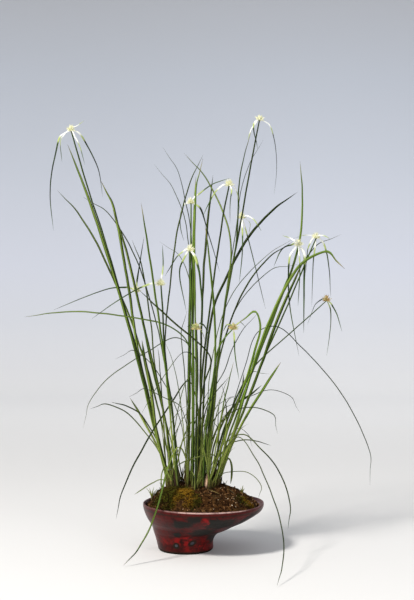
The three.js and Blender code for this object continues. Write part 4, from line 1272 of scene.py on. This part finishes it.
def strawLines(chance, heightAt):
    for index in range(litter["straws"]):
        turn, reach = chance.uniform(0, fullTurn), chance.uniform(*litter["strawReach"])
        spot = Vector((litter["middle"] + reach * cos(turn), reach * sin(turn), 0))
        way = Vector((cos(2.4 * index), sin(2.4 * index), 0)) * chance.uniform(*litter["strawHalf"])
        ends = [spot - way, spot, spot + way]
        for point in ends:
            point.z = (heightAt(point.x, point.y) or litter["ground"]) + litter["strawLift"]
        ends[1].z += litter["strawBow"]
        side = way.cross(up).normalized()
        yield archLine(*ends, side, litter["strawWidth"], chance.uniform(0.1, 0.6))


def makeLitter():
    chance = random.Random(seeds["litter"])
    heightAt = topFinder("soil")
    section = {"Step": 0.0012, "Fold": 0.5, "Sway": 0.0006}
    dry, green = section | {"Material": sheathMaterial()}, section | {"Material": leafFinish}
    addBlades("dried_sheaths", sheathLines(chance, heightAt), dry)
    addBlades("soil_sprouts", sproutLines(chance, heightAt), green)
    addBlades("straw_bits", strawLines(chance, heightAt), dry)
    print("litter made")


makeLitter()

# Thin young leaves that cross between the shoots, lower than the blades round them
young = {
    "count": 34,
    "rise": (0.050, 0.150),
    "reach": (0.014, 0.066),
    "turn": (-2.4, 1.0),
    "width": (0.0009, 0.0016),
    "depth": 0.6,  # how far they reach to the front and back, against left and right
    "outwards": 0.6, "middle": 0.012,
    "bow": (0.1, 0.5),
    "droop": (0.6, 1.0),
    "facing": (0.3, 0.5),
    "step": 0.0025,
}


def makeYoungLeaves():
    chance = random.Random(seeds["young"])
    lines = []
    for index in range(young["count"]):
        root, way = rootPlaces[index * 5 % len(rootPlaces)]
        rise, turn = chance.uniform(*young["rise"]), chance.uniform(*young["turn"])
        out = Vector((cos(turn), young["depth"] * sin(turn), 0)) * chance.uniform(*young["reach"])
        if (root.x - young["middle"]) * out.x > 0:
            out.x *= young["outwards"]
        bow = chance.uniform(*young["bow"])
        middle = root + way.normalized() * rise * (1 - bow) + out * bow
        end = root + out + Vector((0, 0, rise * chance.uniform(*young["droop"])))
        across, back = young["facing"]
        side = Vector((across * out.length - out.y, back * out.x, 0)).normalized()
        width, tone = chance.uniform(*young["width"]), chance.uniform(0.0, 0.75) ** 1.5
        lines.append(archLine(root, middle, end, side, width, tone))
    addBlades("young_leaves", lines, {"Step": young["step"], "Material": leafFinish})
    print("young leaves made")


makeYoungLeaves()

# Pale floor that curves up into a backdrop, with painted shade towards its top and left and a painted glow
# further back, and soft light from above
stage = {
    "front": -2.8, "back": 2.4, "half": 4.0, "curve": 0.6, "curveSteps": 16, "height": 4.2,
    "leftShade": 0.1, "ramp": 1.25,
    "glow": (0.17, 0.17, 0.17),
}
# the colour by height as a share of the ramp's height: painted shade, darker and bluer towards the top
stageRamp = [
    (0.0, (0.88, 0.87, 0.86)),
    (0.05, (0.80, 0.80, 0.82)),
    (0.15, (0.70, 0.72, 0.78)),
    (0.28, (0.64, 0.67, 0.77)),
    (0.52, (0.51, 0.55, 0.64)),
    (0.75, (0.41, 0.45, 0.53)),
    (0.95, (0.33, 0.35, 0.40)),
]
light = {
    "sky": (0.93, 0.96, 1.0, 1),
    "skyStrength": 0.455,
    "aim": (0, 0, 0.2),
    # place, size, power and colour
    "softKey": ((-1.15, -1.25, 1.75), 0.4, 56, (1.0, 0.97, 0.92)),
    "softFill": ((1.2, -1.5, 0.9), 0.9, 5, (1, 1, 1)),
}


def stageMaterial():
    maker = newMaterial("paleStage")
    across, depth, height = maker.apart(maker.place())
    colour = maker.ramp(height / stage["ramp"], stageRamp)
    # painted shade: the left of the floor and backdrop darker, against the key light from the left
    colour = maker.mixed((1 - across.between(-0.5, 0.5)) * stage["leftShade"], colour, (0, 0, 0))
    glow = maker.mixed(depth.between(0.35, 1.5), (0, 0, 0), stage["glow"])
    return maker.dressed(colour, 0.95, Emission_Color=glow, Emission_Strength=1.0)


def makeStage():
    start = stage["back"] - stage["curve"]
    profile = [(stage["front"], 0.0), (start, 0.0)]
    for step in range(1, stage["curveSteps"] + 1):
        turn = pi / 2 * step / stage["curveSteps"]
        profile.append((start + stage["curve"] * sin(turn), stage["curve"] * (1 - cos(turn))))
    profile.append((stage["back"], stage["height"]))
    places = [(x, y, z) for y, z in profile for x in (-stage["half"], stage["half"])]
    faces = [(2 * i, 2 * i + 1, 2 * i + 3, 2 * i + 2) for i in range(len(profile) - 1)]
    floor = newObject("floorAndBackdrop", newMesh("floorAndBackdrop", places, [], faces))
    floor.data.materials.append(stageMaterial())


def addLight(name):
    place, size, power, colour = light[name]
    lamp = bpy.data.lights.new(name, "AREA")
    lamp.shape, lamp.size, lamp.energy, lamp.color = "DISK", size, power, colour
    holder = newObject(name, lamp)
    holder.location = place
    holder.rotation_euler = (Vector(light["aim"]) - Vector(place)).to_track_quat("-Z", "Y").to_euler()


def makeLight():
    world = bpy.data.worlds.new("softWorld")
    world.use_nodes = True
    sockets = world.node_tree.nodes["Background"].inputs
    sockets["Color"].default_value, sockets["Strength"].default_value = light["sky"], light["skyStrength"]
    bpy.context.scene.world = world
    bpy.context.scene.view_settings.view_transform = "Standard"
    addLight("softKey")
    addLight("softFill")


makeStage()
makeLight()
